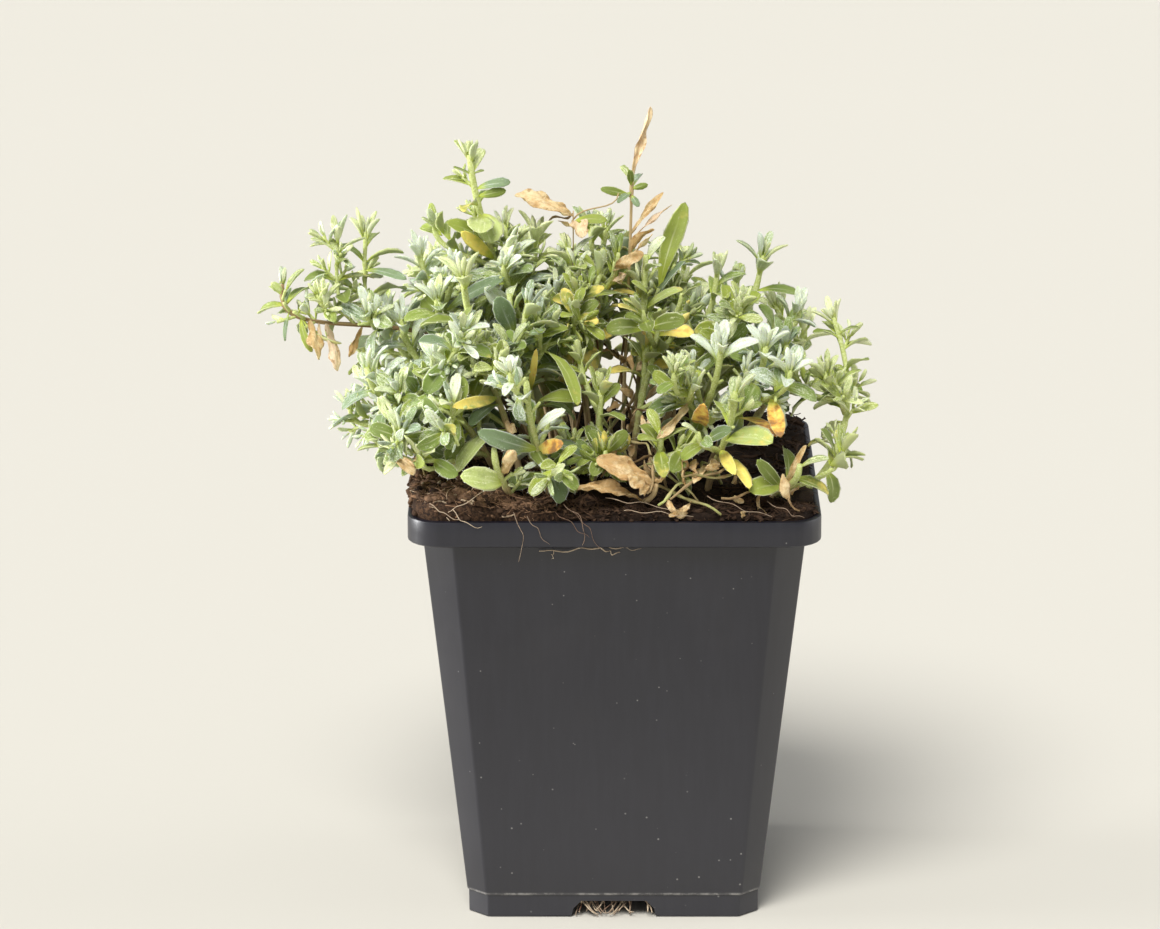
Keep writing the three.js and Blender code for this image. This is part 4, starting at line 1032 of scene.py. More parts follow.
def soil_material():
    """look is how light the peat is here, with painted shade under the plant to the right and back, how much
    of a shred it is and a chance
    """
    material, tree, shader = start_material("shredded_peat", 0.85, 0.2)
    light, shred, chance = attribute(tree, "look")
    crumb = grain(tree, 0.7, 5, 0.7)
    # A low light share darkens peat and shreds to the right and back: partly darker peat, partly painted
    # shade under the plant
    colour = mix(tree, times(tree, fade(tree, crumb, 0.35, 0.7), light), PEAT_DARK, PEAT_LIGHT)
    colour = over(tree, colour, PEAT_CLUMP, grain(tree, 5.0), 0.4, 0.7, 0.5)
    torn = mix(tree, light, SHRED_DARK_AND_SHADED, SHRED_DRY)
    torn = over(tree, torn, SHRED_PALE, chance, 0.9, 0.98)
    torn = over(tree, torn, SHRED_SPECK, crumb, 0.4, 0.7, 0.5)
    link(tree, mix(tree, shred, colour, torn), shader.inputs["Base Color"])
    bump(tree, shader, crumb, 0.5, 0.8)
    return material


def root_material():
    """look is how light the root is"""
    material, tree, shader = start_material("dry_root", 0.75, 0.3)
    light, _, _ = attribute(tree, "look")
    colour = mix(tree, light, ROOT_DARK, ROOT_LIGHT)
    colour = over(tree, colour, ROOT_SPECK, grain(tree, 1.2, 4), 0.4, 0.7, 0.5)
    link(tree, colour, shader.inputs["Base Color"])
    return material


def pot_material():
    """Black plastic with faint drawn streaks, a film of dust, specks and a pale line along the ledge"""
    material, tree, shader = start_material("black_plastic", 0.38, 0.68)
    place = put(tree, "ShaderNodeTexCoord").outputs["Object"]
    height = put(tree, "ShaderNodeSeparateXYZ", {0: place}).outputs[2]
    streak = grain(tree, 1.6, 3, 0.6, (1, 1, 0.03))
    film = grain(tree, 16.0, 4, 0.6)
    low = fade(tree, height, 75 * MM, 10 * MM)

    speck = put(tree, "ShaderNodeTexVoronoi", {"Vector": place, "Scale": 1 / (2.3 * MM)})
    near = add(tree, speck.outputs["Distance"], times(tree, low, -0.03))
    chosen = put(tree, "ShaderNodeSeparateColor", {0: speck.outputs["Color"]}).outputs[0]
    dust = times(tree, fade(tree, near, 0.09, 0.03), fade(tree, chosen, 0.55, 0.95))
    ease = 0.4 * MM
    under, above = (LEDGE_Z - 0.2) * MM, (LEDGE_Z + 0.8) * MM
    # A pale line along the top of the ledge
    line = times(tree, fade(tree, height, under, under + ease), fade(tree, height, above, above - ease))
    pale_ledge_line = times(tree, line, fade(tree, grain(tree, 3.0, 4, 0.7), 0.42, 0.62, 0.15, 0.8))

    colour = over(tree, BLACK, BLACK_DRAWN, streak, 0.3, 0.75)
    colour = over(tree, colour, HANDLED, film, 0.45, 0.8, 0.2)
    colour = mix(tree, times(tree, low, 0.25), colour, DUSTY)
    colour = mix(tree, calc(tree, "MAXIMUM", times(tree, dust, 0.7), pale_ledge_line), colour, DUST)
    link(tree, colour, shader.inputs["Base Color"])
    rough = add(tree, fade(tree, film, 0.3, 0.8, 0.36, 0.44), times(tree, dust, 0.3))
    link(tree, rough, shader.inputs["Roughness"])
    bump(tree, shader, grain(tree, 0.5, 2, 0.5), 0.008, 0.5)
    return material


leaf_look = leaf_material()
stem_look = stem_material()
wool_look = wool_material()
dry_look = dry_material()
soil_look = soil_material()
pot_look = pot_material()
root_look = root_material()
PLANT_LOOKS = (leaf_look, stem_look, wool_look, dry_look)


# Pot: rings of points laid along its section, from the floor's underside round the rim to its inside

NOTCH_HALF = 9.4
NOTCH_SHOULDER = 1.8
NOTCH_TAPER = 0.4
ARC_STEPS = (0.0, 15.0, 30.0, 45.0)
NOTCH_STOPS = (-NOTCH_HALF, NOTCH_TAPER - NOTCH_HALF, NOTCH_SHOULDER + NOTCH_TAPER - NOTCH_HALF)
HALF_STOPS = (-24.0, -17.0) + NOTCH_STOPS
SIDE_STOPS = HALF_STOPS + (0.0,) + tuple(-stop for stop in reversed(HALF_STOPS))
SLANT = math.tan(22.5 * DEG)
WALL_ROUND = 1.2
FOOT_ROUND = 0.8
HARD_EDGE = 38


def square_ring(half, cut, round_, stops=SIDE_STOPS):
    """Points round a square whose corners are cut straight, each edge of the cut made round"""
    share = half / FOOT_HALF
    side = [(stop * share, -half) for stop in stops]
    for step in ARC_STEPS:
        turn = step * DEG
        side.append((half - cut - round_ * (SLANT - math.sin(turn)), -half + round_ * (1 - math.cos(turn))))
    for step in ARC_STEPS:
        turn = (45 + step) * DEG
        side.append((half - round_ * (1 - math.sin(turn)), -half + cut + round_ * (SLANT - math.cos(turn))))
    side = np.array(side)
    turned_side = np.stack((-side[:, 1], side[:, 0]), 1)
    return np.concatenate((side, turned_side, -side, -turned_side))


def notch_lift(ring):
    """How high the foot's cut-outs reach at each point of a ring"""
    places = (NOTCH_HALF - NOTCH_SHOULDER - NOTCH_TAPER, NOTCH_HALF - NOTCH_TAPER, NOTCH_HALF)
    heights = (NOTCH_HEIGHT, NOTCH_HEIGHT - NOTCH_SHOULDER, 0)
    return np.interp(np.abs(ring).min(1), places, heights)


def wall_section(z, inset):
    share = (z - LEDGE_Z) / (SHOULDER - LEDGE_Z)
    half = LEDGE_HALF + (SHOULDER_HALF - LEDGE_HALF) * share - inset
    cut = LEDGE_CUT + (SHOULDER_CUT - LEDGE_CUT) * share - inset * 0.4
    return z, half, cut, WALL_ROUND


def rim_section(z, inset):
    radius = RIM_CORNER - inset * 0.75
    return z, RIM_HALF - inset, radius * 0.6, radius * 0.96


def foot_section(z, half):
    return z, half, LEDGE_CUT, FOOT_ROUND


def pot_sections():
    """Height, half width, corner cut and roundness of each ring, from the underside to the inside"""
    inner = FOOT_HALF - FOOT_WALL
    ledge = LEDGE_Z + LEDGE_STEP
    top = POT_HEIGHT
    floor_top = FLOOR_Z + FLOOR
    foot = (
        (FLOOR_Z, inner - 0.4), (FLOOR_Z - 0.1, inner), (0.2, inner), (0, inner + 0.2),
        (0, FOOT_HALF - 0.3), (0.3, FOOT_HALF), (LEDGE_Z, LEDGE_HALF - LEDGE_STEP),
        (LEDGE_Z + 0.05, LEDGE_HALF - 0.15), (LEDGE_Z + 0.2, LEDGE_HALF - 0.02),
    )
    wall = [(z, 0) for z in np.linspace(ledge, SHOULDER - 0.1, 8)]
    rim = (
        (SHOULDER, 0.6), (SHOULDER + 0.1, 0.2), (SHOULDER + 0.35, 0), (top - 3, 0), (top - 0.6, 0),
        (top - 0.2, 0.12), (top, 0.5), (top, 1.0), (top - 0.2, 1.4), (top - 0.6, RIM_WALL),
        (SHOULDER + 0.9, RIM_WALL),
    )
    inside = ((SHOULDER - 0.4, WALL), (50, WALL), (floor_top + 0.3, WALL), (floor_top, WALL + 0.5))
    kinds = ((foot_section, foot), (wall_section, wall), (rim_section, rim), (wall_section, inside))
    return [section(*row) for section, rows in kinds for row in rows]


def ringed(form, rings):
    """Points of a tube laid on rings, its two ends closed in the middle"""
    points = np.zeros((len(form.points), 3))
    for row, (ring, heights) in enumerate(rings):
        here = form.row == row
        points[here, :2] = ring[form.column[here]]
        points[here, 2] = heights[form.column[here]]
    points[form.spread < 0.5, :2] = 0
    return points


def make_pot():
    sections = pot_sections()
    sides = 4 * (len(SIDE_STOPS) + 2 * len(ARC_STEPS))
    form = tube_form(sides, len(sections) - 1, 0)
    rings = []
    for z, half, cut, round_ in sections:
        ring = square_ring(half, cut, round_)
        heights = np.full(sides, float(z))
        if z < FLOOR_Z - 1:
            heights = np.maximum(heights, notch_lift(ring))
        rings.append((ring, heights))
    points = ringed(form, rings)
    form.mesh.vertices.foreach_set("co", (points * MM + AXIS).ravel())
    form.mesh.update()
    mesh = drilled(form.mesh)
    mesh.name = "nursery_pot"
    mesh.materials.clear()
    mesh.materials.append(pot_look)
    smooth_by_angle(mesh, HARD_EDGE)
    return show("nursery_pot", mesh, "pot", "pot")


def drilled(mesh):
    """The pot with its four drain holes cut through the floor"""
    bm = bmesh.new()
    for x in (-DRAIN_PLACE, DRAIN_PLACE):
        for y in (-DRAIN_PLACE, DRAIN_PLACE):
            middle = Vector(AXIS) + Vector((x, y, FLOOR_Z + FLOOR / 2)) * MM
            radius = DRAIN_RADIUS * MM
            bmesh.ops.create_cone(bm, cap_ends=True, segments=24, radius1=radius, radius2=radius,
                                  depth=3 * FLOOR * MM, matrix=Matrix.Translation(middle))
    holes = bpy.data.meshes.new("holes")
    bm.to_mesh(holes)
    bm.free()
    drill = bpy.data.objects.new("holes", holes)
    blank = bpy.data.objects.new("blank_pot", mesh)
    for piece in (drill, blank):
        bpy.context.scene.collection.objects.link(piece)
    cut = blank.modifiers.new("drain", "BOOLEAN")
    cut.object, cut.solver = drill, "EXACT"
    made = bpy.data.meshes.new_from_object(blank.evaluated_get(bpy.context.evaluated_depsgraph_get()))
    for piece in (drill, blank):
        bpy.data.objects.remove(piece)
    return made


def smooth_by_angle(mesh, degrees):
    """Edges sharper than an angle stay hard in the shading"""
    bm = bmesh.new()
    bm.from_mesh(mesh)
    for edge in bm.edges:
        edge.smooth = edge.is_manifold and edge.calc_face_angle(0) < degrees * DEG
    bm.to_mesh(mesh)
    bm.free()


# Soil: shredded peat that stands over the rim, in a heap at the front left

SOIL_STOPS = tuple(np.linspace(-26, 26, 31))
SOIL_RINGS = 46
SOIL_HALF = RIM_HALF - RIM_WALL - 0.15
SOIL_CUT = 3.9
SOIL_ROUND = 6.2
SOIL_RISE = (0.15, 0.45, 0.75, 0.93)
SOIL_SHREDS = 2300
SOIL_CRUMBS = 900
EDGE_BELT = 7
LEAN_OUT = 1.2

# The most that across and along may add up to, so that nothing is past the rim's round corners
SOIL_CORNERS = 82.0


def soil_rough(x, y):
    """Fine unevenness of the peat"""
    out = np.zeros(np.shape(x))
    for size, rise in ((9.0, 0.7), (4.3, 0.6)):
        f = 2 * math.pi / size
        across = np.sin(f * x + 1.3 * np.sin(f * 0.6 * y + size))
        along = np.sin(f * 1.1 * y + 1.7 * np.sin(f * 0.5 * x))
        out = out + rise * across * along
    return out


def soil_at(x, y):
    edge = np.clip((SOIL_HALF - np.maximum(np.abs(x), np.abs(y))) / 4, 0, 1)
    return soil_top(x, y) + soil_rough(x, y) * (0.4 + 0.6 * edge)


def soil_bulge(x, y):
    """How far the heap leans out over the rim, by place"""
    heap = np.exp(-((x - HEAP.x) ** 2 / 300 + (y - HEAP.y) ** 2 / 500))
    return 1.7 * heap


def soil_ring(share=1.0):
    return square_ring(SOIL_HALF * share, SOIL_CUT * share, SOIL_ROUND * share, SOIL_STOPS)


def soil_rings():
    """Rings of the root ball: inside the pot, up the edge that stands over the rim, and in to the middle"""
    draw = make_draw(seed=505)
    rings = []
    for z in (FLOOR_Z + FLOOR + 0.3, 30, 60, SHOULDER - 1):
        _, half, cut, _ = wall_section(z, WALL + 0.3)
        rings.append((square_ring(half, cut, FOOT_ROUND, SOIL_STOPS), z))
    for z in (SHOULDER + 1.0, POT_HEIGHT - 1.5):
        rings.append((soil_ring(), z))
    for share in SOIL_RISE:
        ring = soil_ring()
        swell = soil_bulge(ring[:, 0], ring[:, 1]) * math.sin(math.pi * share)
        swell = swell + np.array([draw(-0.3, 0.3) for _ in ring])
        foot = POT_HEIGHT + 0.2
        top = soil_at(ring[:, 0], ring[:, 1])
        rings.append((ring * (1 + swell[:, None] / SOIL_HALF), foot + (top - foot) * share))
    for share in np.linspace(0.985, 0.02, SOIL_RINGS):
        ring = soil_ring(share)
        rings.append((ring, soil_at(ring[:, 0], ring[:, 1])))
    return [(ring, np.broadcast_to(z, len(ring))) for ring, z in rings]


def make_soil():
    rings = soil_rings()
    form = tube_form(len(rings[0][0]), len(rings) - 1, 0)
    points = ringed(form, rings)
    growth = Growth()
    # The peat's tone, darkened to the right and back as painted shade under the plant
    light = peat_light_and_shade(points[:, 0], points[:, 1])
    growth.add(form, points, np.zeros((len(points), 3)), np.stack((light, light * 0, light * 0), 1))
    add_crumbs(growth)
    add_shreds(growth)
    return growth.finish("peat", "soil", (soil_look,), "soil")


def peat_light_and_shade(x, y):
    """How light the peat is: dry and light on the heap at the front left, darker to the right and back,
    partly darker peat and partly painted shade under the plant
    """
    return 0.16 + 0.84 / (1 + np.exp((x + 12) / 4)) * np.clip((12 - y) / 30, 0.3, 1)


def in_corners(x, y, reach=SOIL_CORNERS):
    """The same place, drawn in where it is past the round corners of the rim"""
    share = min(1.0, reach / max(1.0, abs(x) + abs(y)))
    return x * share, y * share


def soil_spot(draw):
    """A place on the soil, more of them where the front and left edges show it"""
    where, along = draw(0, 1), draw(-SOIL_HALF, SOIL_HALF)
    if where < 0.34:
        return in_corners(along, draw(-SOIL_HALF, EDGE_BELT - SOIL_HALF))
    if where < 0.44:
        return in_corners(draw(-SOIL_HALF, EDGE_BELT - SOIL_HALF), -abs(along))
    if where < 0.56:
        return in_corners(draw(-SOIL_HALF, -18), draw(-SOIL_HALF, -12))
    return in_corners(along, draw(-SOIL_HALF, SOIL_HALF))


def on_soil(x, y, lift, draw):
    """A point on the soil, at the edge anywhere between the rim and the top"""
    z = soil_at(x, y)
    if max(abs(x), abs(y)) < SOIL_HALF - 0.8:
        return x, y, z + lift
    share = draw(0, 1)
    out = 1 + (float(soil_bulge(x, y)) * math.sin(math.pi * share) + lift * 0.5) / SOIL_HALF
    return x * out, y * out, POT_HEIGHT + 0.1 + (z - POT_HEIGHT) * share


def add_crumbs(growth):
    def build(bm):
        bmesh.ops.create_icosphere(bm, subdivisions=1, radius=1)

    form = Form(build)
    blank = np.zeros((len(form.points), 3))
    draw = make_draw(seed=717)
    for _ in range(SOIL_CRUMBS):
        x, y = soil_spot(draw)
        size = draw(0.3, 0.9) * (1 + (x < -20 and y < 0) * 0.5)
        stretch = np.array((draw(0.6, 1.6), draw(0.6, 1.2), draw(0.5, 0.9))) * size
        turn = turned_all(form.points * stretch, draw(0, 6.3), draw(-0.8, 0.8))
        light = float(peat_light_and_shade(x, y))
        points = turn + np.array(on_soil(x, y, size * 0.2, draw))
        growth.add(form, points, blank, (draw(0, 0.7) * light, draw(0.3, 1), draw(0, 0.9)))


def turned_all(points, around, tilt):
    """Points turned about Z and then tilted about X, in radians"""
    c, s = math.cos(around), math.sin(around)
    p = np.stack((points[:, 0] * c - points[:, 1] * s, points[:, 0] * s + points[:, 1] * c, points[:, 2]), 1)
    c, s = math.cos(tilt), math.sin(tilt)
    return np.stack((p[:, 0], p[:, 1] * c - p[:, 2] * s, p[:, 1] * s + p[:, 2] * c), 1)


def held(value, most):
    return max(-most, min(most, value))


def add_shreds(growth):
    """Curled shreds and fibres of peat"""
    form = tube_form(4, 5, 0)
    blank = np.zeros((len(form.points), 3))
    draw = make_draw(seed=929)
    for _ in range(SOIL_SHREDS):
        x, y = soil_spot(draw)
        fibre = draw(0, 1) < 0.35
        turn, length, bend = draw(0, 2 * math.pi), draw(2, 4.5) * (1 + fibre), draw(-1.2, 1.2)
        at_edge = max(abs(x), abs(y)) > SOIL_HALF - LEAN_OUT
        ends = []
        base = on_soil(x, y, 0.1, draw)
        for share in (-0.5, -0.17, 0.17, 0.5):
            swing = turn + bend * share
            px = held(base[0] + math.cos(swing) * length * share + draw(-0.3, 0.3), SOIL_HALF + LEAN_OUT)
            py = held(base[1] + math.sin(swing) * length * share + draw(-0.3, 0.3), SOIL_HALF + LEAN_OUT)
            px, py = in_corners(px, py, SOIL_CORNERS + 1)
            if at_edge:
                ends.append((px, py, max(POT_HEIGHT + 0.2, base[2] + draw(-1.0, 1.0))))
            else:
                z = float(soil_at(held(px, SOIL_HALF), held(py, SOIL_HALF)))
                ends.append((px, py, z + draw(-0.25, 1.3 if fibre else 0.9)))
        width = draw(0.06, 0.12) if fibre else draw(0.16, 0.6)
        flat = 1.0 if fibre else draw(0.25, 0.6)
        light = float(peat_light_and_shade(x, y))
        tone = (draw(0.4, 1) if fibre else draw(0, 0.8)) * light
        points = tube_points(Run(*ends), form, width, width * 0.55, flat=flat)
        growth.add(form, points, blank, (tone, 1, draw(0, 1) * light**0.3))


# Roots and dead twigs

ROOT_FORM = tube_form(6, 14, 0)
FIBRE_FORM = tube_form(4, 6, 0)
TWIG_FORM = tube_form(6, 16)
NOTCH_ROOTS = 26
ROOT_SLIM = 0.55
TWIG_SLIM = 0.8

# Each root by the four points that shape it, its radius at both ends and how light it is

ROOTS = (
    (((-36, -43, 98), (-34, -45.6, 96.5), (-31.3, -45.9, 93.6), (-28.7, -45.6, 94.2)), 0.22, 0.1, 0.95),
    (((-40, -44, 99), (-37, -45.4, 97), (-35, -45.5, 96), (-33, -45.5, 95.4)), 0.2, 0.12, 0.7),
    (((-22, -43, 97), (-20.7, -46, 95.5), (-18.9, -45.9, 90.5), (-20.8, -44, 85.8)), 0.14, 0.07, 0.6),
    (((-19, -43, 96), (-18.2, -46, 95.6), (-16.5, -46, 92.6), (-14, -45.6, 90.2)), 0.12, 0.06, 0.5),
    (((-11, -43, 98.5), (-8.6, -46, 97.5), (-4.8, -46.2, 94.6), (-7, -45.6, 90)), 0.16, 0.1, 0.3),
    (((-9, -44, 97), (-6.4, -45.8, 96), (-5.6, -46, 92.8), (-2.8, -45.2, 88.9)), 0.12, 0.06, 0.2),
    (((-13, -43, 97), (-11, -45.8, 96), (-7, -46.2, 93), (-5.5, -45.6, 91.8)), 0.12, 0.07, 0.15),
    (((-16.4, -42.4, 87.8), (-11, -42.6, 87.6), (-7.5, -42.6, 88.6), (-2.8, -42.5, 88.6)), 0.2, 0.32, 1.0),
    (((-3.4, -42.5, 88.7), (-1.2, -43, 88.4), (-1.4, -42.8, 86.6), (1.2, -42.5, 87.6)), 0.34, 0.22, 1.0),
    (((-3.2, -42.6, 88.8), (0, -42.8, 89.2), (3, -42.6, 87.8), (5.8, -42.4, 88.4)), 0.26, 0.1, 0.95),
    (((-13.6, -42.2, 88), (-13.2, -42.8, 87.2), (-13.4, -42.6, 86.6), (-13.6, -42.2, 86)), 0.16, 0.1, 1.0),
    (((2, -44, 97.4), (6, -45.4, 97.6), (11, -45.2, 97.2), (17, -44.6, 96.2)), 0.16, 0.1, 0.8),
    (((-2, -43, 100), (4, -44, 98.6), (8, -43, 99.4), (13, -44.6, 97)), 0.18, 0.1, 0.7),
    (((20, -43, 100.4), (25, -45.6, 98.6), (30, -44.6, 97.4), (34, -45.4, 96.4)), 0.15, 0.1, 0.6),
    (((33, -42, 99), (36, -45.6, 98), (39, -45.4, 96.6), (41, -45, 96)), 0.15, 0.08, 0.5),
    (((-26, -40, 102), (-29, -46, 102), (-33, -46.4, 99), (-36, -45.4, 97.4)), 0.22, 0.12, 0.9),
)

# Woody and dead stems that lie on the soil or stand in the open middle, given in the same way
DEAD_TWIGS = (
    (((24, -24, 97), (22, -36, 107), (15, -43, 104), (9.4, -43.5, 98.4)), 0.5, 0.36),
    (((6, -22, 97), (4, -34, 101), (14, -43, 102), (23, -44.5, 96.6)), 0.5, 0.34),
    (((28, -28, 98), (28, -40, 110), (21, -44, 107), (12, -44.4, 100)), 0.44, 0.3),
    (((12, -30, 97), (8, -40, 113), (10, -43, 107), (7, -43.4, 101)), 0.4, 0.32),
    (((27, -22, 97), (31, -40, 103), (24, -43, 106), (14.6, -44.6, 105)), 0.42, 0.28),
    (((0, -12, 97), (-3, -20, 112), (2, -26, 108), (4, -34, 104)), 0.45, 0.3),
    (((33, -24, 97), (38, -38, 101), (31, -44, 101), (23, -44.8, 100.4)), 0.44, 0.3),
    (((16, -12, 97), (12, -30, 106), (2, -37, 109), (-3, -41, 104)), 0.42, 0.26),
    (((20, -18, 97), (18, -30, 106), (22, -40, 108), (30, -43, 103)), 0.42, 0.26),
    (((36, -26, 97), (33, -36, 104), (36, -43, 101), (40, -44.4, 97.4)), 0.4, 0.28),
    (((2, -20, 97), (6, -30, 108), (12, -38, 104), (18, -42, 99)), 0.4, 0.28),
    (((-41, -36, 103), (-43, -39, 106), (-46, -40, 108), (-49.7, -41, 109.3)), 0.24, 0.16),
    (((-18, 2, 148.5), (-15, 3, 150), (-12, 3, 151.5), (-9, 3, 152.5)), 0.18, 0.15),
    (((-10, 6, 97), (-4, 4, 112), (-3, -2, 124), (-5, -10, 133)), 0.45, 0.3),
    (((6, 10, 97), (0, 6, 108), (4, 4, 120), (1, 0, 130)), 0.45, 0.3),
    (((10, 16, 97), (8, 12, 110), (0, 10, 118), (-4, 8, 126)), 0.45, 0.26),
    (((-2, 12, 97), (4, 8, 110), (8, 6, 114), (9, 0, 124)), 0.45, 0.24),
    (((-8, -2, 97), (0, -4, 104), (6, -2, 116), (5, -6, 122)), 0.45, 0.24),
    (((14, 6, 97), (10, 2, 106), (4, 0, 108), (-5, -6, 116)), 0.45, 0.26),
    (((3, 0, 97), (-1, -2, 106), (-6, -6, 112), (-7, -12, 122)), 0.45, 0.26),
    (((8, -4, 97), (12, -8, 110), (8, -12, 114), (4, -18, 112)), 0.4, 0.22),
    (((0, 18, 97), (-2, 14, 112), (6, 12, 122), (6, 10, 132)), 0.4, 0.22),
    (((-9, -16, 97), (-6, -22, 106), (-1, -28, 108), (2, -32, 103)), 0.45, 0.26),
    (((-4, -8, 97), (3, -14, 109), (7, -20, 107), (9, -28, 103)), 0.45, 0.26),
)


def wandering(points, form, sway, phase):
    """Points of a thin root or twig, swayed a little to and fro along its length"""
    share = sway * np.sin(math.pi * form.t) ** 0.5
    points[:, 0] += share * np.sin(phase + 9 * form.t)
    points[:, 2] += share * np.sin(2 * phase + 13 * form.t)
    return points


def notch_root(draw):
    """The path of a fine root that has grown out through the foot's cut-out at the front"""
    x = draw(-8.2, 8.2)
    step = draw(-3.5, 3.5)
    return Run(
        (x, draw(-31, -27), 3.6),
        (x + step * 0.3, draw(-32.5, -29), draw(1.2, 3)),
        (x + step * 0.7, draw(-33, -30), draw(0.6, 2.2)),
        (held(x + step, NOTCH_HALF - 1), draw(-33.2, -31), draw(0.3, 1.4)),
    )


def make_roots():
    growth = Growth()
    draw = make_draw(seed=313)
    place = np.zeros((len(ROOT_FORM.points), 3))
    for ends, low, high, light in ROOTS:
        points = tube_points(Run(*ends), ROOT_FORM, low * ROOT_SLIM, high * ROOT_SLIM)
        points = wandering(points, ROOT_FORM, 0.35, draw(0, 6))
        growth.add(ROOT_FORM, points, place, (light * 0.75, 0, 0.5))
    for _ in range(NOTCH_ROOTS):
        growth.add_tube(FIBRE_FORM, notch_root(draw), draw(0.12, 0.3), 0.08, (draw(0, 1), 0, 0.5))
    return growth.finish("roots", "soil", (root_look,))


def make_dead_twigs():
    growth = Growth()
    draw = make_draw(seed=606)
    for ends, low, high in DEAD_TWIGS:
        run = Run(*ends)
        knots = [draw(0.2, 0.4), draw(0.5, 0.65), draw(0.75, 0.9)]
        green = draw(0, 0.5)
        points = tube_points(run, TWIG_FORM, low * TWIG_SLIM, high * TWIG_SLIM, knots)
        points = wandering(points, TWIG_FORM, 0.7, draw(0, 6))
        growth.add(TWIG_FORM, points, tube_places(TWIG_FORM), (green, green, draw(0, 1.1)))
        for t in knots:
            if draw(0, 1) < 0.7:
                leaf = leaf_at(run, t, draw(0, 360), draw(30, 110), draw(-60, 60))
                leaf.arch, leaf.length, leaf.half = draw(40, 130) * DEG, draw(4, 8), draw(0.7, 1.5)
                leaf.pair, leaf.look = 4, WITHERED
                dress(leaf, draw)
                growth.add_blade(SHRIVELLED, leaf)
    return growth.finish("dead_twigs", "withered", PLANT_LOOKS)


# Fine growth that the solids leave out: buds, side tufts, older pairs and side shoots

# Crown line of the plant in the front view, as x and z, and the places that stay open in it
CROWN = np.array((
    (-80, 130), (-76, 138), (-70, 141), (-62, 151), (-53, 152), (-46, 145), (-40, 151), (-36, 160),
    (-32, 168), (-25, 162), (-20, 150), (-10, 151), (-3, 156), (4, 160), (10, 155), (17, 150),
    (20, 134), (23, 137), (33, 141), (40, 138), (43, 129), (52, 128), (56, 114),
), float)
HOLLOW = SimpleNamespace(left=-7.0, right=11.5, low=100.0, high=127.0)
CLEARINGS = (
    SimpleNamespace(left=0.0, right=47.0, top=113.0, back=12.0),
    SimpleNamespace(left=-48.0, right=-24.0, top=109.0, back=-22.0),
)
CROWN_DEPTH = 24.0


def crown_at(x):
    return np.interp(x, CROWN[:, 0], CROWN[:, 1])


def in_hollow(x, seen):
    return HOLLOW.left < x < HOLLOW.right and HOLLOW.low < seen < HOLLOW.high


def openness(p):
    """Share of the fine growth that is left out at a point: much of it near the outline of the plant"""
    seen = p[2] + VIEW_LIFT * p[1]
    if in_hollow(p[0], seen):
        return 1.0
    for place in CLEARINGS:
        if place.left < p[0] < place.right and p[2] < place.top and p[1] < place.back:
            return 0.95
    below = (crown_at(p[0]) - seen) / CROWN_DEPTH
    if below < 0.05:
        return 1.0
    side = min((p[0] + 66) / 22, (56 - p[0]) / 26)
    return 1 - max(0.0, min(1.0, below + 0.2)) * max(0.3, min(1.0, side))


def in_crown(p):
    """Whether a tip is inside the bush, which stands further out above the rim"""
    seen = p[2] + VIEW_LIFT * max(0.0, p[1])
    if in_hollow(p[0], seen):
        return False
    reach = 82 if p[2] > 112 else 52
    return p[2] < crown_at(p[0]) - 1.5 and max(abs(p[0]), abs(p[1])) < reach


def way_out(toward, around):
    """The direction straight out of a stem on one side of it, the turn given in radians"""
    return laid_along(np.array((math.cos(around), math.sin(around), 0.0)), toward)


def side_shoots(plans, node, draw):
    """Short shoots that fill the bush between the main ones"""
    made = []
    for main in plans:
        steps, span = (5, 0.6) if main.low else (2, 0.45)
        for step in range(steps):
            t = 0.3 + span * (step + draw(0, 1)) / steps
            run = side_run(main.run, t, draw)
            if run:
                stem_room.claim(run.at(np.linspace(0, 1, 10)), node)
                mood = (main.mood[0] + draw(-0.12, 0.2), main.mood[1], main.mood[2] + draw(-0.2, 0.2))
                made.append(SimpleNamespace(
                    run=run, leaf=draw(7, 10.5), pairs=3, gap=draw(3.4, 4.6), mood=mood,
                    open=draw(-2, 12), yaw=draw(0, 180), bare=0.2, nodes=[], thin=True, low=False))
    return made


def side_run(main, t, draw):
    """The path of a side shoot, at the first of a few ways out that has room, if any has"""
    start_at = main.chord_at(t)
    toward = main.toward(t)
    for _ in range(6):
        around, down, length = draw(0, 360), draw(30, 62) * DEG, draw(8, 15)
        out = way_out(toward, around * DEG)
        tip = start_at + length * unit(toward * math.cos(down) + out * math.sin(down) + UP * 0.35)
        if not in_crown(tip) or tip[2] < soil_top(tip[0], tip[1]) + 6:
            continue
        if draw(0, 1) < openness(tip):
            return None
        reach = length * BEND
        run = Run(start_at, start_at + unit(toward + out) * reach, tip - unit(UP + out * 0.3) * reach, tip)
        samples = run.at(np.linspace(0.45, 1, 6))
        away, _ = leaf_room.near(samples, 1.6)
        close, _ = stem_room.near(samples[2:], 3.2)
        if not ((away < 1.1).any() or (close < 2.2).any() or hides(samples)):
            return run
    return None


def small_leaf(run, t, around, down, size, arch, slender=1.0):
    """A leaf of a bud or tuft, left out where it would hide one that stands out"""
    leaf = leaf_at(run, t, around, down, 0)
    leaf.arch, leaf.length, leaf.half = arch * DEG, size, 0.5 * LEAF_RATIO * size * slender
    leaf.pair, leaf.look = 0, FRESH
    return [] if hides(leaf_samples(leaf)) else [leaf]


# Leaf pairs of a bud and of a tuft from the tip down, as length and how far they lean out in degrees
BUD = ((3.0, 6), (4.4, 12), (5.6, 19))
TUFT = ((2.8, 8), (4.0, 26), (5.0, 50))


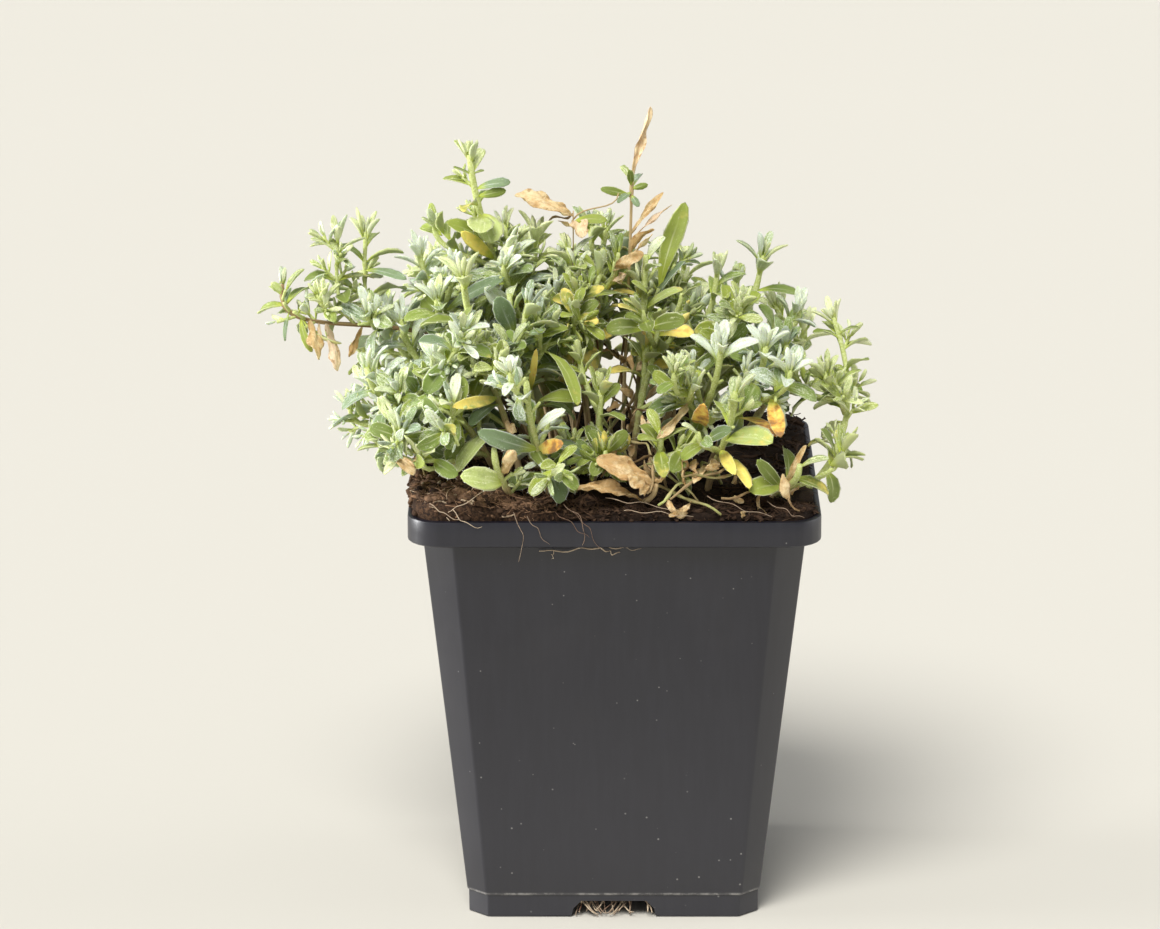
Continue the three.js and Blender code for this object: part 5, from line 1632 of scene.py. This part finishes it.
def bud(plan, draw):
    """Tight tip of a shoot: three crossing pairs of small upright leaves"""
    leaves = []
    for pair, (size, down) in enumerate(BUD):
        for twin in range(2):
            yaw = plan.yaw + 45 + 90 * pair + 180 * twin + draw(-20, 20)
            share = min(1, plan.leaf / 9) * draw(0.8, 1.2)
            t = 1 - 0.35 * pair / plan.run.length
            leaves += small_leaf(plan.run, t, yaw, down + draw(-4, 8), size * share, draw(-22, 18) or 1, 0.8)
    return leaves


def side_tufts(plan, draw, kept):
    """Tiny shoots in the leaf axils"""
    leaves, twigs = [], []
    for t, yaw in plan.nodes[1:]:
        for twin in range(2):
            if draw(0, 1) > 0.5 * (1 - kept * openness(plan.run.at(t))):
                continue
            toward = plan.run.toward(t)
            out = way_out(toward, (yaw + 180 * twin + draw(-12, 12)) * DEG)
            start_at, length = plan.run.at(t), draw(2.2, 5.2)
            tip = start_at + length * unit(toward + out * 0.9)
            away, _ = leaf_room.near(tip[None], 2)
            if (away < 0.9).any() or not over_ground(tip[None])[0]:
                continue
            run = Run(start_at, start_at + (tip - start_at) * 0.3, start_at + (tip - start_at) * 0.7, tip)
            twigs.append(run)
            base, grown = draw(0, 180), draw(0.8, 1.3)
            for pair, (size, down) in enumerate(TUFT):
                for side in range(2):
                    leaves += small_leaf(run, 1 - 0.22 * pair, base + 90 * pair + 180 * side, down,
                                         size * grown * draw(0.85, 1.15), draw(10, 45), 0.85)
    return leaves, twigs


# Tones of leaves that stand out, as how bare of wool, how yellow, and from lime below 0 to grey at 1
TONES = {
    "pale": (0.5, 0.2, -0.25),
    "olive": (0.75, 0.25, 0.05),
    "blue": (0.7, 0.0, 0.9),
    "green": (0.85, 0.2, 0.3),
    "lime": (0.6, 0.45, -0.1),
    "yellow": (0.6, 0.85, 0.1),
    "orange": (0.9, 1.35, 0.3),
    "white": (0.0, 0.0, 0.8),
    "amber": (0.8, 1.1, 0.1),
}

# Stems that are slimmer than the rest
SLIM = {"left_branch": 0.75, "top_sprig": 0.55, "dead_crown_twig": 0.34, "far_right_stem": 0.9}

# How green a main stem is at its foot and tip, and how worn the wood of a bare one is
GREENNESS = {
    "left_branch": (0.0, 0.3),
    "top_sprig": (0.0, 0.2),
    "dead_crown_twig": (0.0, 0.0),
    "dead_front_stem": (0.1, 0.1),
    "far_right_stem": (0.5, 0.9),
}
WORN = {"top_sprig": 1.9, "dead_crown_twig": 1.1, "dead_front_stem": 1.8}

# The mood of a stem: how bare of wool, how yellow and which tone, beside what each shoot draws
MOODS = {
    "left_branch": (0.0, 0.1, -0.1),
    "left_low_stem": (-0.15, 0.05, 0.3),
    "left_middle_stem": (-0.2, 0.0, 0.45),
    "left_high_stem": (-0.15, 0.0, 0.35),
    "left_front_stem": (-0.15, 0.05, 0.3),
    "tall_stem": (0.15, 0.12, -0.3),
    "crown_left_stem": (-0.2, 0.05, 0.1),
    "bright_stem": (-0.05, 0.12, -0.3),
    "front_upper_stem": (0.1, 0.05, 0.1),
    "front_silver_stem": (-0.2, 0.0, 0.45),
    "front_left_stem": (0.0, 0.1, 0.1),
    "crown_middle_stem": (0.15, 0.15, 0.1),
    "top_sprig": (0.35, 0.0, 0.2),
    "hollow_stem": (0.5, 0.25, -0.1),
    "right_tall_stem": (0.1, 0.05, 0.2),
    "right_silver_stem": (-0.25, 0.0, 0.55),
    "right_front_stem": (-0.2, 0.0, 0.5),
    "right_low_stem": (0.1, 0.1, 0.0),
    "right_corner_stem": (0.3, 0.05, 0.1),
    "far_right_stem": (0.1, 0.1, -0.1),
}

# Stems without fine growth
PLAIN = {"top_sprig", "dead_crown_twig", "dead_front_stem"}

# How much the open outline thins the tufts and older pairs of a stem
KEPT = {
    "left_branch": -0.5,
    "tall_stem": 0.2,
    "far_right_stem": 0.3,
    "left_high_stem": 0.5,
    "left_low_stem": 0.5,
}

# More single leaves that stand out, by stem
STANDING_OUT = {
    "left_branch": [
        single(0.8, (-66.5, -11, 124.3), 2.0, arch=70, look="olive", faces=FRONT_LEFT),
        single(0.72, (-65.2, -12, 124), 1.9, arch=-40, look=WITHERED, faces=FRONT),
        single(0.58, (-58.6, -9, 122.7), 1.9, arch=25, look=WITHERED, faces=FRONT),
        single(0.86, (-72.5, -10, 126.5), 1.2, arch=60, look="blue"),
        single(0.9, (-71, -9, 138.5), 1.0, arch=80, look="blue", faces=FRONT_LEFT),
        single(0.95, (-75.5, -9, 139.6), 2.4, arch=12, look="pale", faces=FRONT),
        single(0.62, (-45.5, -12, 141), 2.5, on=3, arch=35, look="blue", faces=FRONT_UP),
    ],
    "tall_stem": [
        single(0.68, (-33.8, -4, 150), 3.4, arch=20, look="yellow", faces=FRONT),
        single(0.82, (-29.6, -7, 150.2), 6.6, arch=24, look="pale", faces=FRONT, fold=0.25),
        single(0.9, (-22.8, 0, 160.2), 2.7, arch=40, look="blue", faces=FRONT_UP),
        single(0.88, (-23.8, 0, 158.4), 2.4, arch=30, look="green", faces=FRONT),
        single(0.94, (-35.6, 1, 163.4), 1.2, arch=20, look="green"),
        single(0.945, (-28.6, 1, 162.6), 1.1, arch=20, look="green"),
    ],
    "left_high_stem": [single(0.75, (-24, -14, 142), 3.6, on=0, arch=30, look="blue", faces=FRONT_UP)],
    "front_upper_stem": [
        single(0.5, (-17, -26, 129), 1.8, arch=40, look="amber", faces=FRONT),
        single(0.62, (-8, -46.5, 121.3), 3.7, on=1, arch=40, look="olive", faces=FRONT_RIGHT),
        single(0.8, (-25.6, -22, 139.7), 5.0, arch=20, look="blue", faces=FRONT),
    ],
    "right_silver_stem": [
        single(0.5, (19.2, -42, 120.9), 4.2, arch=50, look="orange", faces=FRONT),
        single(0.45, (9, -40, 112.5), 3.2, on=1, arch=50, look=WITHERED, faces=FRONT),
    ],
    "front_silver_stem": [
        single(0.5, (-11, -46, 113), 3.6, arch=50, look="orange", faces=FRONT),
        single(0.62, (-10.5, -48, 121), 2.6, arch=30, look="white", faces=FRONT_UP),
        single(0.5, (-29.6, -48, 116.2), 4.4, arch=45, look="blue", faces=FRONT_LEFT),
    ],
    "bright_stem": [single(0.45, (-35, -46, 121), 3.0, arch=30, look="yellow", faces=FRONT)],
    "front_left_stem": [
        single(0.5, (-33.3, -49, 106.5), 5.6, arch=50, look="pale", faces=FRONT),
        single(0.6, (-21.5, -48, 112), 3.0, arch=30, look=WITHERED, faces=FRONT),
    ],
    "crown_left_stem": [single(0.7, (-28.5, -14, 139.8), 4.4, arch=20, look="white", faces=FRONT)],
    "crown_middle_stem": [
        single(0.75, (6.5, -3, 145), 3.0, on=1, arch=50, look=WITHERED, faces=FRONT),
        single(0.6, (2, -6, 140), 2.6, on=1, arch=40, look=WITHERED, faces=FRONT_RIGHT),
        single(0.8, (8.5, -2, 149), 1.8, on=1, arch=40, look=WITHERED, faces=FRONT_RIGHT),
    ],
    "crown_right_stem": [single(0.75, (15.5, 4, 135), 2.6, arch=60, roll=30, look="lime")],
    "top_sprig": [
        single(0.78, (13, 5, 154), 1.4, arch=25, roll=50, look=WITHERED),
        single(0.7, (9, 2, 149), 2.0, arch=60, roll=20, look=WITHERED),
        single(0.93, (-3, 4, 157.8), 2.2, arch=20, look="green", faces=FRONT),
        single(0.95, (7.6, 4, 158.8), 1.9, arch=20, look="green", faces=FRONT),
        single(0.96, (3.4, 3, 162.4), 1.9, arch=20, look="green", faces=FRONT),
        single(0.93, (5.6, 2, 154.2), 2.0, arch=20, look="blue", faces=FRONT),
        single(0.94, (0.8, 2, 155), 1.9, arch=30, look="blue", faces=FRONT_LEFT),
    ],
    "dead_crown_twig": [single(0.96, (-1.5, 0, 151.5), 2.9, arch=50, look="olive", faces=FRONT_UP)],
    "right_tall_stem": [single(0.3, (26, -14, 122), 3, arch=40, look="lime")],
    "right_low_stem": [
        single(0.5, (26, -48, 106.5), 3.0, arch=30, look="yellow", faces=FRONT),
        single(0.35, (19.4, -47, 107.8), 2.6, arch=50, look=WITHERED, faces=FRONT),
    ],
    "right_front_stem": [single(0.5, (35.8, -43, 113.4), 4.0, on=1, arch=30, look="orange", faces=FRONT)],
    "right_corner_stem": [
        single(0.5, (30.6, -46, 109.4), 3.2, arch=30, look="green", faces=FRONT),
        single(0.2, (27.2, -46, 97.6), 2.6, arch=-60, look=WITHERED, faces=FRONT_UP),
        single(0.45, (41.5, -38, 110.4), 2.4, arch=40, look=WITHERED, faces=FRONT),
    ],
    "far_right_stem": [
        single(0.9, (54, -16, 131), 1.9, arch=70, look="green"),
        single(0.88, (43.5, -16, 130), 2.0, arch=70, look="green"),
    ],
}


def shaded(p):
    """How deep in the bush a point is: inner and lower leaves are barer, more olive and darker, partly as
    older leaves and partly as painted shade inside the bush and in its open middle
    """
    seen = p[2] + VIEW_LIFT * p[1]
    if abs(p[0] - 2) < 15 and seen < HOLLOW.high + 8:
        return 2.2
    below = (crown_at(p[0]) - seen) / 45
    inner = 1 - max(abs(p[0] + 4) / 60, abs(p[1]) / 60)
    return max(0.0, min(1.0, below * 0.8 + inner * 0.5 - 0.15))


def dress(leaf, draw):
    """Width, fold, wave, twist and tone of one leaf"""
    bare_more, yellow_more, tone_more = getattr(leaf, "mood", (0, 0, 0))
    # Deep in the bush a leaf is barer, yellower and darker: age, and painted shade inside the bush
    inner_depth_and_shade = shaded(leaf.foot)
    bare = min(1.0, max(0.0, 0.12 + 0.2 * leaf.pair + bare_more + 0.22 * inner_depth_and_shade + draw(-0.15, 0.25)))
    yellow = max(0.0, draw(-1.6, 0.6) + yellow_more + 0.14 * inner_depth_and_shade) * bare
    leaf.phase, leaf.nick, leaf.crumple = draw(0, 6.3), 0.0, 0.0
    least = 0.3 * min(1.0, inner_depth_and_shade) - 0.2
    tone = min(1.0, max(least, 0.38 + tone_more - 0.17 * inner_depth_and_shade + draw(-0.3, 0.35)))
    leaf.tone = TONES.get(leaf.look, (bare, yellow, tone))
    leaf.point = draw(0.1, 0.85) if leaf.look == FRESH else draw(0.1, 0.4)
    leaf.fuzz = 1.0 if leaf.look == FRESH else 0.5
    if leaf.look == WITHERED:
        leaf.fold, leaf.wave, leaf.twist, leaf.thick = draw(-0.7, 0.9), draw(0.3, 0.8), draw(-1.4, 1.4), 0.12
        leaf.nick, leaf.crumple = 0.1, 0.3 * leaf.half
        leaf.half *= 0.7 if leaf.length > 12 else 1
        low = min(1, max(0, (leaf.foot[2] - 105) / 25))
        leaf.tone = (draw(0, 0.4 + 0.6 * low), draw(0, 0.4 + 0.6 * low), draw(0, 1))
    else:
        bare = leaf.tone[0]
        leaf.fold, leaf.wave = draw(0.1, 0.4) + 0.3 * (1 - bare), draw(0.05, 0.35) * bare
        leaf.twist, leaf.thick = draw(-0.35, 0.35), 0.28 - 0.05 * bare
        if leaf.look == FRESH:
            leaf.half *= 0.76 + 0.24 * min(1, 1.6 * bare)
    for key, value in getattr(leaf, "given", {}).items():
        setattr(leaf, key, value)


BLADE = blade_form(8, 7, 8)
SMALL_BLADE = blade_form(6, 5, 6)
CRUMPLED = blade_form(20, 26, 0, DRY)
SHRIVELLED = blade_form(8, 10, 0, DRY)
TUBES = {rows: tube_form(7, rows) for rows in (4, 8, 20)}


def blade_of(leaf):
    if leaf.look == WITHERED:
        return CRUMPLED
    return BLADE if leaf.length > 5.2 else SMALL_BLADE


def build_stem(row, plans, leaves, twigs):
    """The finer piece of one stem node"""
    growth = Growth()
    for plan in plans:
        slim = SLIM.get(row.name, 1)
        low, high = (0.82 * slim, 0.55 * slim) if plan.low and not plan.thin else (0.58 * slim, 0.42 * slim)
        rows = 8 if plan.run.length < 16 else 20
        green = GREENNESS.get(row.name, (0.15, 0.75)) if plan.low or row.slot == "withered" else (0.5, 0.8)
        worn = (WORN.get(row.name, plan.yaw / 180),)
        growth.add_tube(TUBES[rows], plan.run, low, high, green + worn, [t for t, _ in plan.nodes])
    for run in twigs:
        growth.add_tube(TUBES[4], run, 0.42, 0.34, (0.8, 0.8, 0.5))
    for leaf in leaves:
        growth.add_blade(blade_of(leaf), leaf)
    return growth.finish("grown_" + row.name, row.slot, PLANT_LOOKS, row.name)


def set_moods(row, plans, draw):
    bare, yellow, tone = MOODS.get(row.name, (0, 0, 0))
    for plan in plans:
        plan.mood = (bare + draw(-0.15, 0.25), yellow, tone + draw(-0.3, 0.3))


def in_mood(plan, leaves):
    for leaf in leaves:
        leaf.mood = plan.mood
    return leaves


def grow_solid_leaves(grown):
    """The stems and leaves that the solids hold, by the same rule and draws"""
    for node, plans in enumerate(grown):
        for plan in plans:
            count = math.ceil(plan.run.length / 1.5)
            stem_room.claim(plan.run.at(np.arange(count + 1) / count), node)
    leaves = []
    for node, (row, plans) in enumerate(zip(STEMS, grown)):
        leaves.append([set_leaf(own, plans, node) for own in row.own])
    for node, plans in enumerate(grown):
        draw = make_draw(seed=4001 + 97 * node)
        for plan in plans:
            leaves[node] += in_mood(plan, grow_pairs(plan, node, draw, SOLID_ROOM))
    return leaves


def stays(leaf):
    """Whether a leaf of the solids is kept: one that hides most of a leaf that stands out is not"""
    return leaf.look != FRESH or hides(leaf_samples(leaf)) < 6


def grow_plant():
    """All stem pieces: the leaves of the solids first, then what fills the bush, then the tufts"""
    grown = [plan_shoots(row) for row in STEMS]
    draws = [make_draw(seed=9001 + 53 * node) for node in range(len(STEMS))]
    for row, plans, draw in zip(STEMS, grown, draws):
        set_moods(row, plans, draw)
    leaves = grow_solid_leaves(grown)
    for node, (row, plans) in enumerate(zip(STEMS, grown)):
        leaves[node] += [set_leaf(own, plans, node) for own in STANDING_OUT.get(row.name, ())]
        in_sight.extend(seen_from_front(leaf_samples(leaf)) for leaf in leaves[node] if leaf.look != FRESH)
    leaves = [[leaf for leaf in some if stays(leaf)] for some in leaves]
    twigs = [[] for _ in STEMS]
    leafy = [entry for entry in enumerate(zip(STEMS, grown, draws)) if entry[1][0].name not in PLAIN]
    for node, (row, plans, draw) in leafy:
        extra = side_shoots(plans, node, draw)
        for plan in extra:
            leaves[node] += in_mood(plan, grow_pairs(plan, node, draw, FINE_ROOM))
        plans += extra
    for node, (row, plans, draw) in leafy:
        kept = KEPT.get(row.name, 1.0)
        for plan in plans:
            older = grow_pairs(plan, node, draw, FINE_ROOM, plan.pairs, plan.pairs + 5, plan.below)
            older = [leaf for leaf in older if draw(0, 1) > 0.12 + kept * openness(leaf.foot)]
            tufts, tuft_twigs = side_tufts(plan, draw, kept)
            leaves[node] += in_mood(plan, older + bud(plan, draw) + tufts)
            twigs[node] += tuft_twigs
    for node, (row, plans, draw) in enumerate(zip(STEMS, grown, draws)):
        for leaf in leaves[node]:
            dress(leaf, draw)
        build_stem(row, plans, leaves[node], twigs[node])


# Floor, light and camera

CAMERA_DOWN = 15.4
CAMERA_AWAY = 1.3
CAMERA_AIM = Vector((AXIS[0] - 7.5 * MM, AXIS[1], 95.6 * MM))
SENSOR = 36
FOCAL_PIXELS = 5815
PHOTO_WIDTH_PIXELS = 1160

FLOOR_HALF = 3.0
PAPER_SHADE = (0.627, 0.603, 0.541, 1)
PAPER_LIGHT = (0.637, 0.613, 0.550, 1)
WALL_CREAM = (0.888, 0.847, 0.753, 1)
SKY_LIGHT = (0.95, 0.97, 1.0, 1)
SKY_STRENGTH = 0.36
WARM_WHITE = (1.0, 0.99, 0.96)
WHITE = (1.0, 1.0, 1.0)


def make_floor():
    bm = bmesh.new()
    bmesh.ops.create_grid(bm, x_segments=2, y_segments=2, size=FLOOR_HALF)
    mesh = bpy.data.meshes.new("floor")
    bm.to_mesh(mesh)
    bm.free()
    material, tree, shader = start_material("floor", 0.8, 0.5)
    link(tree, mix(tree, grain(tree, 300), PAPER_SHADE, PAPER_LIGHT), shader.inputs["Base Color"])
    mesh.materials.append(material)
    floor = bpy.data.objects.new("floor", mesh)
    bpy.context.scene.collection.objects.link(floor)


def make_light(name, turn, rise, spread, strength, colour=WHITE):
    """A wide soft light from far away, so that the floor is lit evenly. Turn 0 is the front, 90 the right."""
    lamp = bpy.data.lights.new(name, "SUN")
    lamp.angle, lamp.energy, lamp.color = spread * DEG, strength, colour
    light = bpy.data.objects.new(name, lamp)
    turn, rise = turn * DEG, rise * DEG
    toward = Vector((math.sin(turn) * math.cos(rise), -math.cos(turn) * math.cos(rise), math.sin(rise)))
    light.location = toward
    light.rotation_euler = toward.to_track_quat("Z", "Y").to_euler()
    bpy.context.scene.collection.objects.link(light)


def make_world():
    world = bpy.data.worlds.new("studio")
    world.use_nodes = True
    tree = world.node_tree
    path = put(tree, "ShaderNodeLightPath")
    sky = tree.nodes["Background"]
    sky.inputs["Color"].default_value = SKY_LIGHT
    sky.inputs["Strength"].default_value = SKY_STRENGTH
    wall = put(tree, "ShaderNodeBackground", {"Color": WALL_CREAM})
    parts = {0: path.outputs["Is Camera Ray"], 1: sky.outputs[0], 2: wall.outputs[0]}
    both = put(tree, "ShaderNodeMixShader", parts)
    tree.links.new(both.outputs[0], tree.nodes["World Output"].inputs["Surface"])
    bpy.context.scene.world = world


def make_camera():
    lens = bpy.data.cameras.new("camera")
    lens.sensor_width = SENSOR
    lens.lens = SENSOR * FOCAL_PIXELS / PHOTO_WIDTH_PIXELS
    camera = bpy.data.objects.new("camera", lens)
    down = CAMERA_DOWN * DEG
    camera.location = CAMERA_AIM + CAMERA_AWAY * Vector((0, -math.cos(down), math.sin(down)))
    camera.rotation_euler = (math.pi / 2 - down, 0, 0)
    bpy.context.scene.collection.objects.link(camera)
    bpy.context.scene.camera = camera


make_pot()
make_soil()
grow_plant()
make_roots()
make_dead_twigs()
make_floor()
make_world()
make_light("key", turn=-20, rise=54, spread=30, strength=3.6, colour=WARM_WHITE)
make_light("left_panel", turn=-92, rise=2, spread=24, strength=5.0)
make_light("right_panel", turn=98, rise=4, spread=50, strength=1.0)
make_camera()
bpy.context.scene.view_settings.view_transform = "Standard"
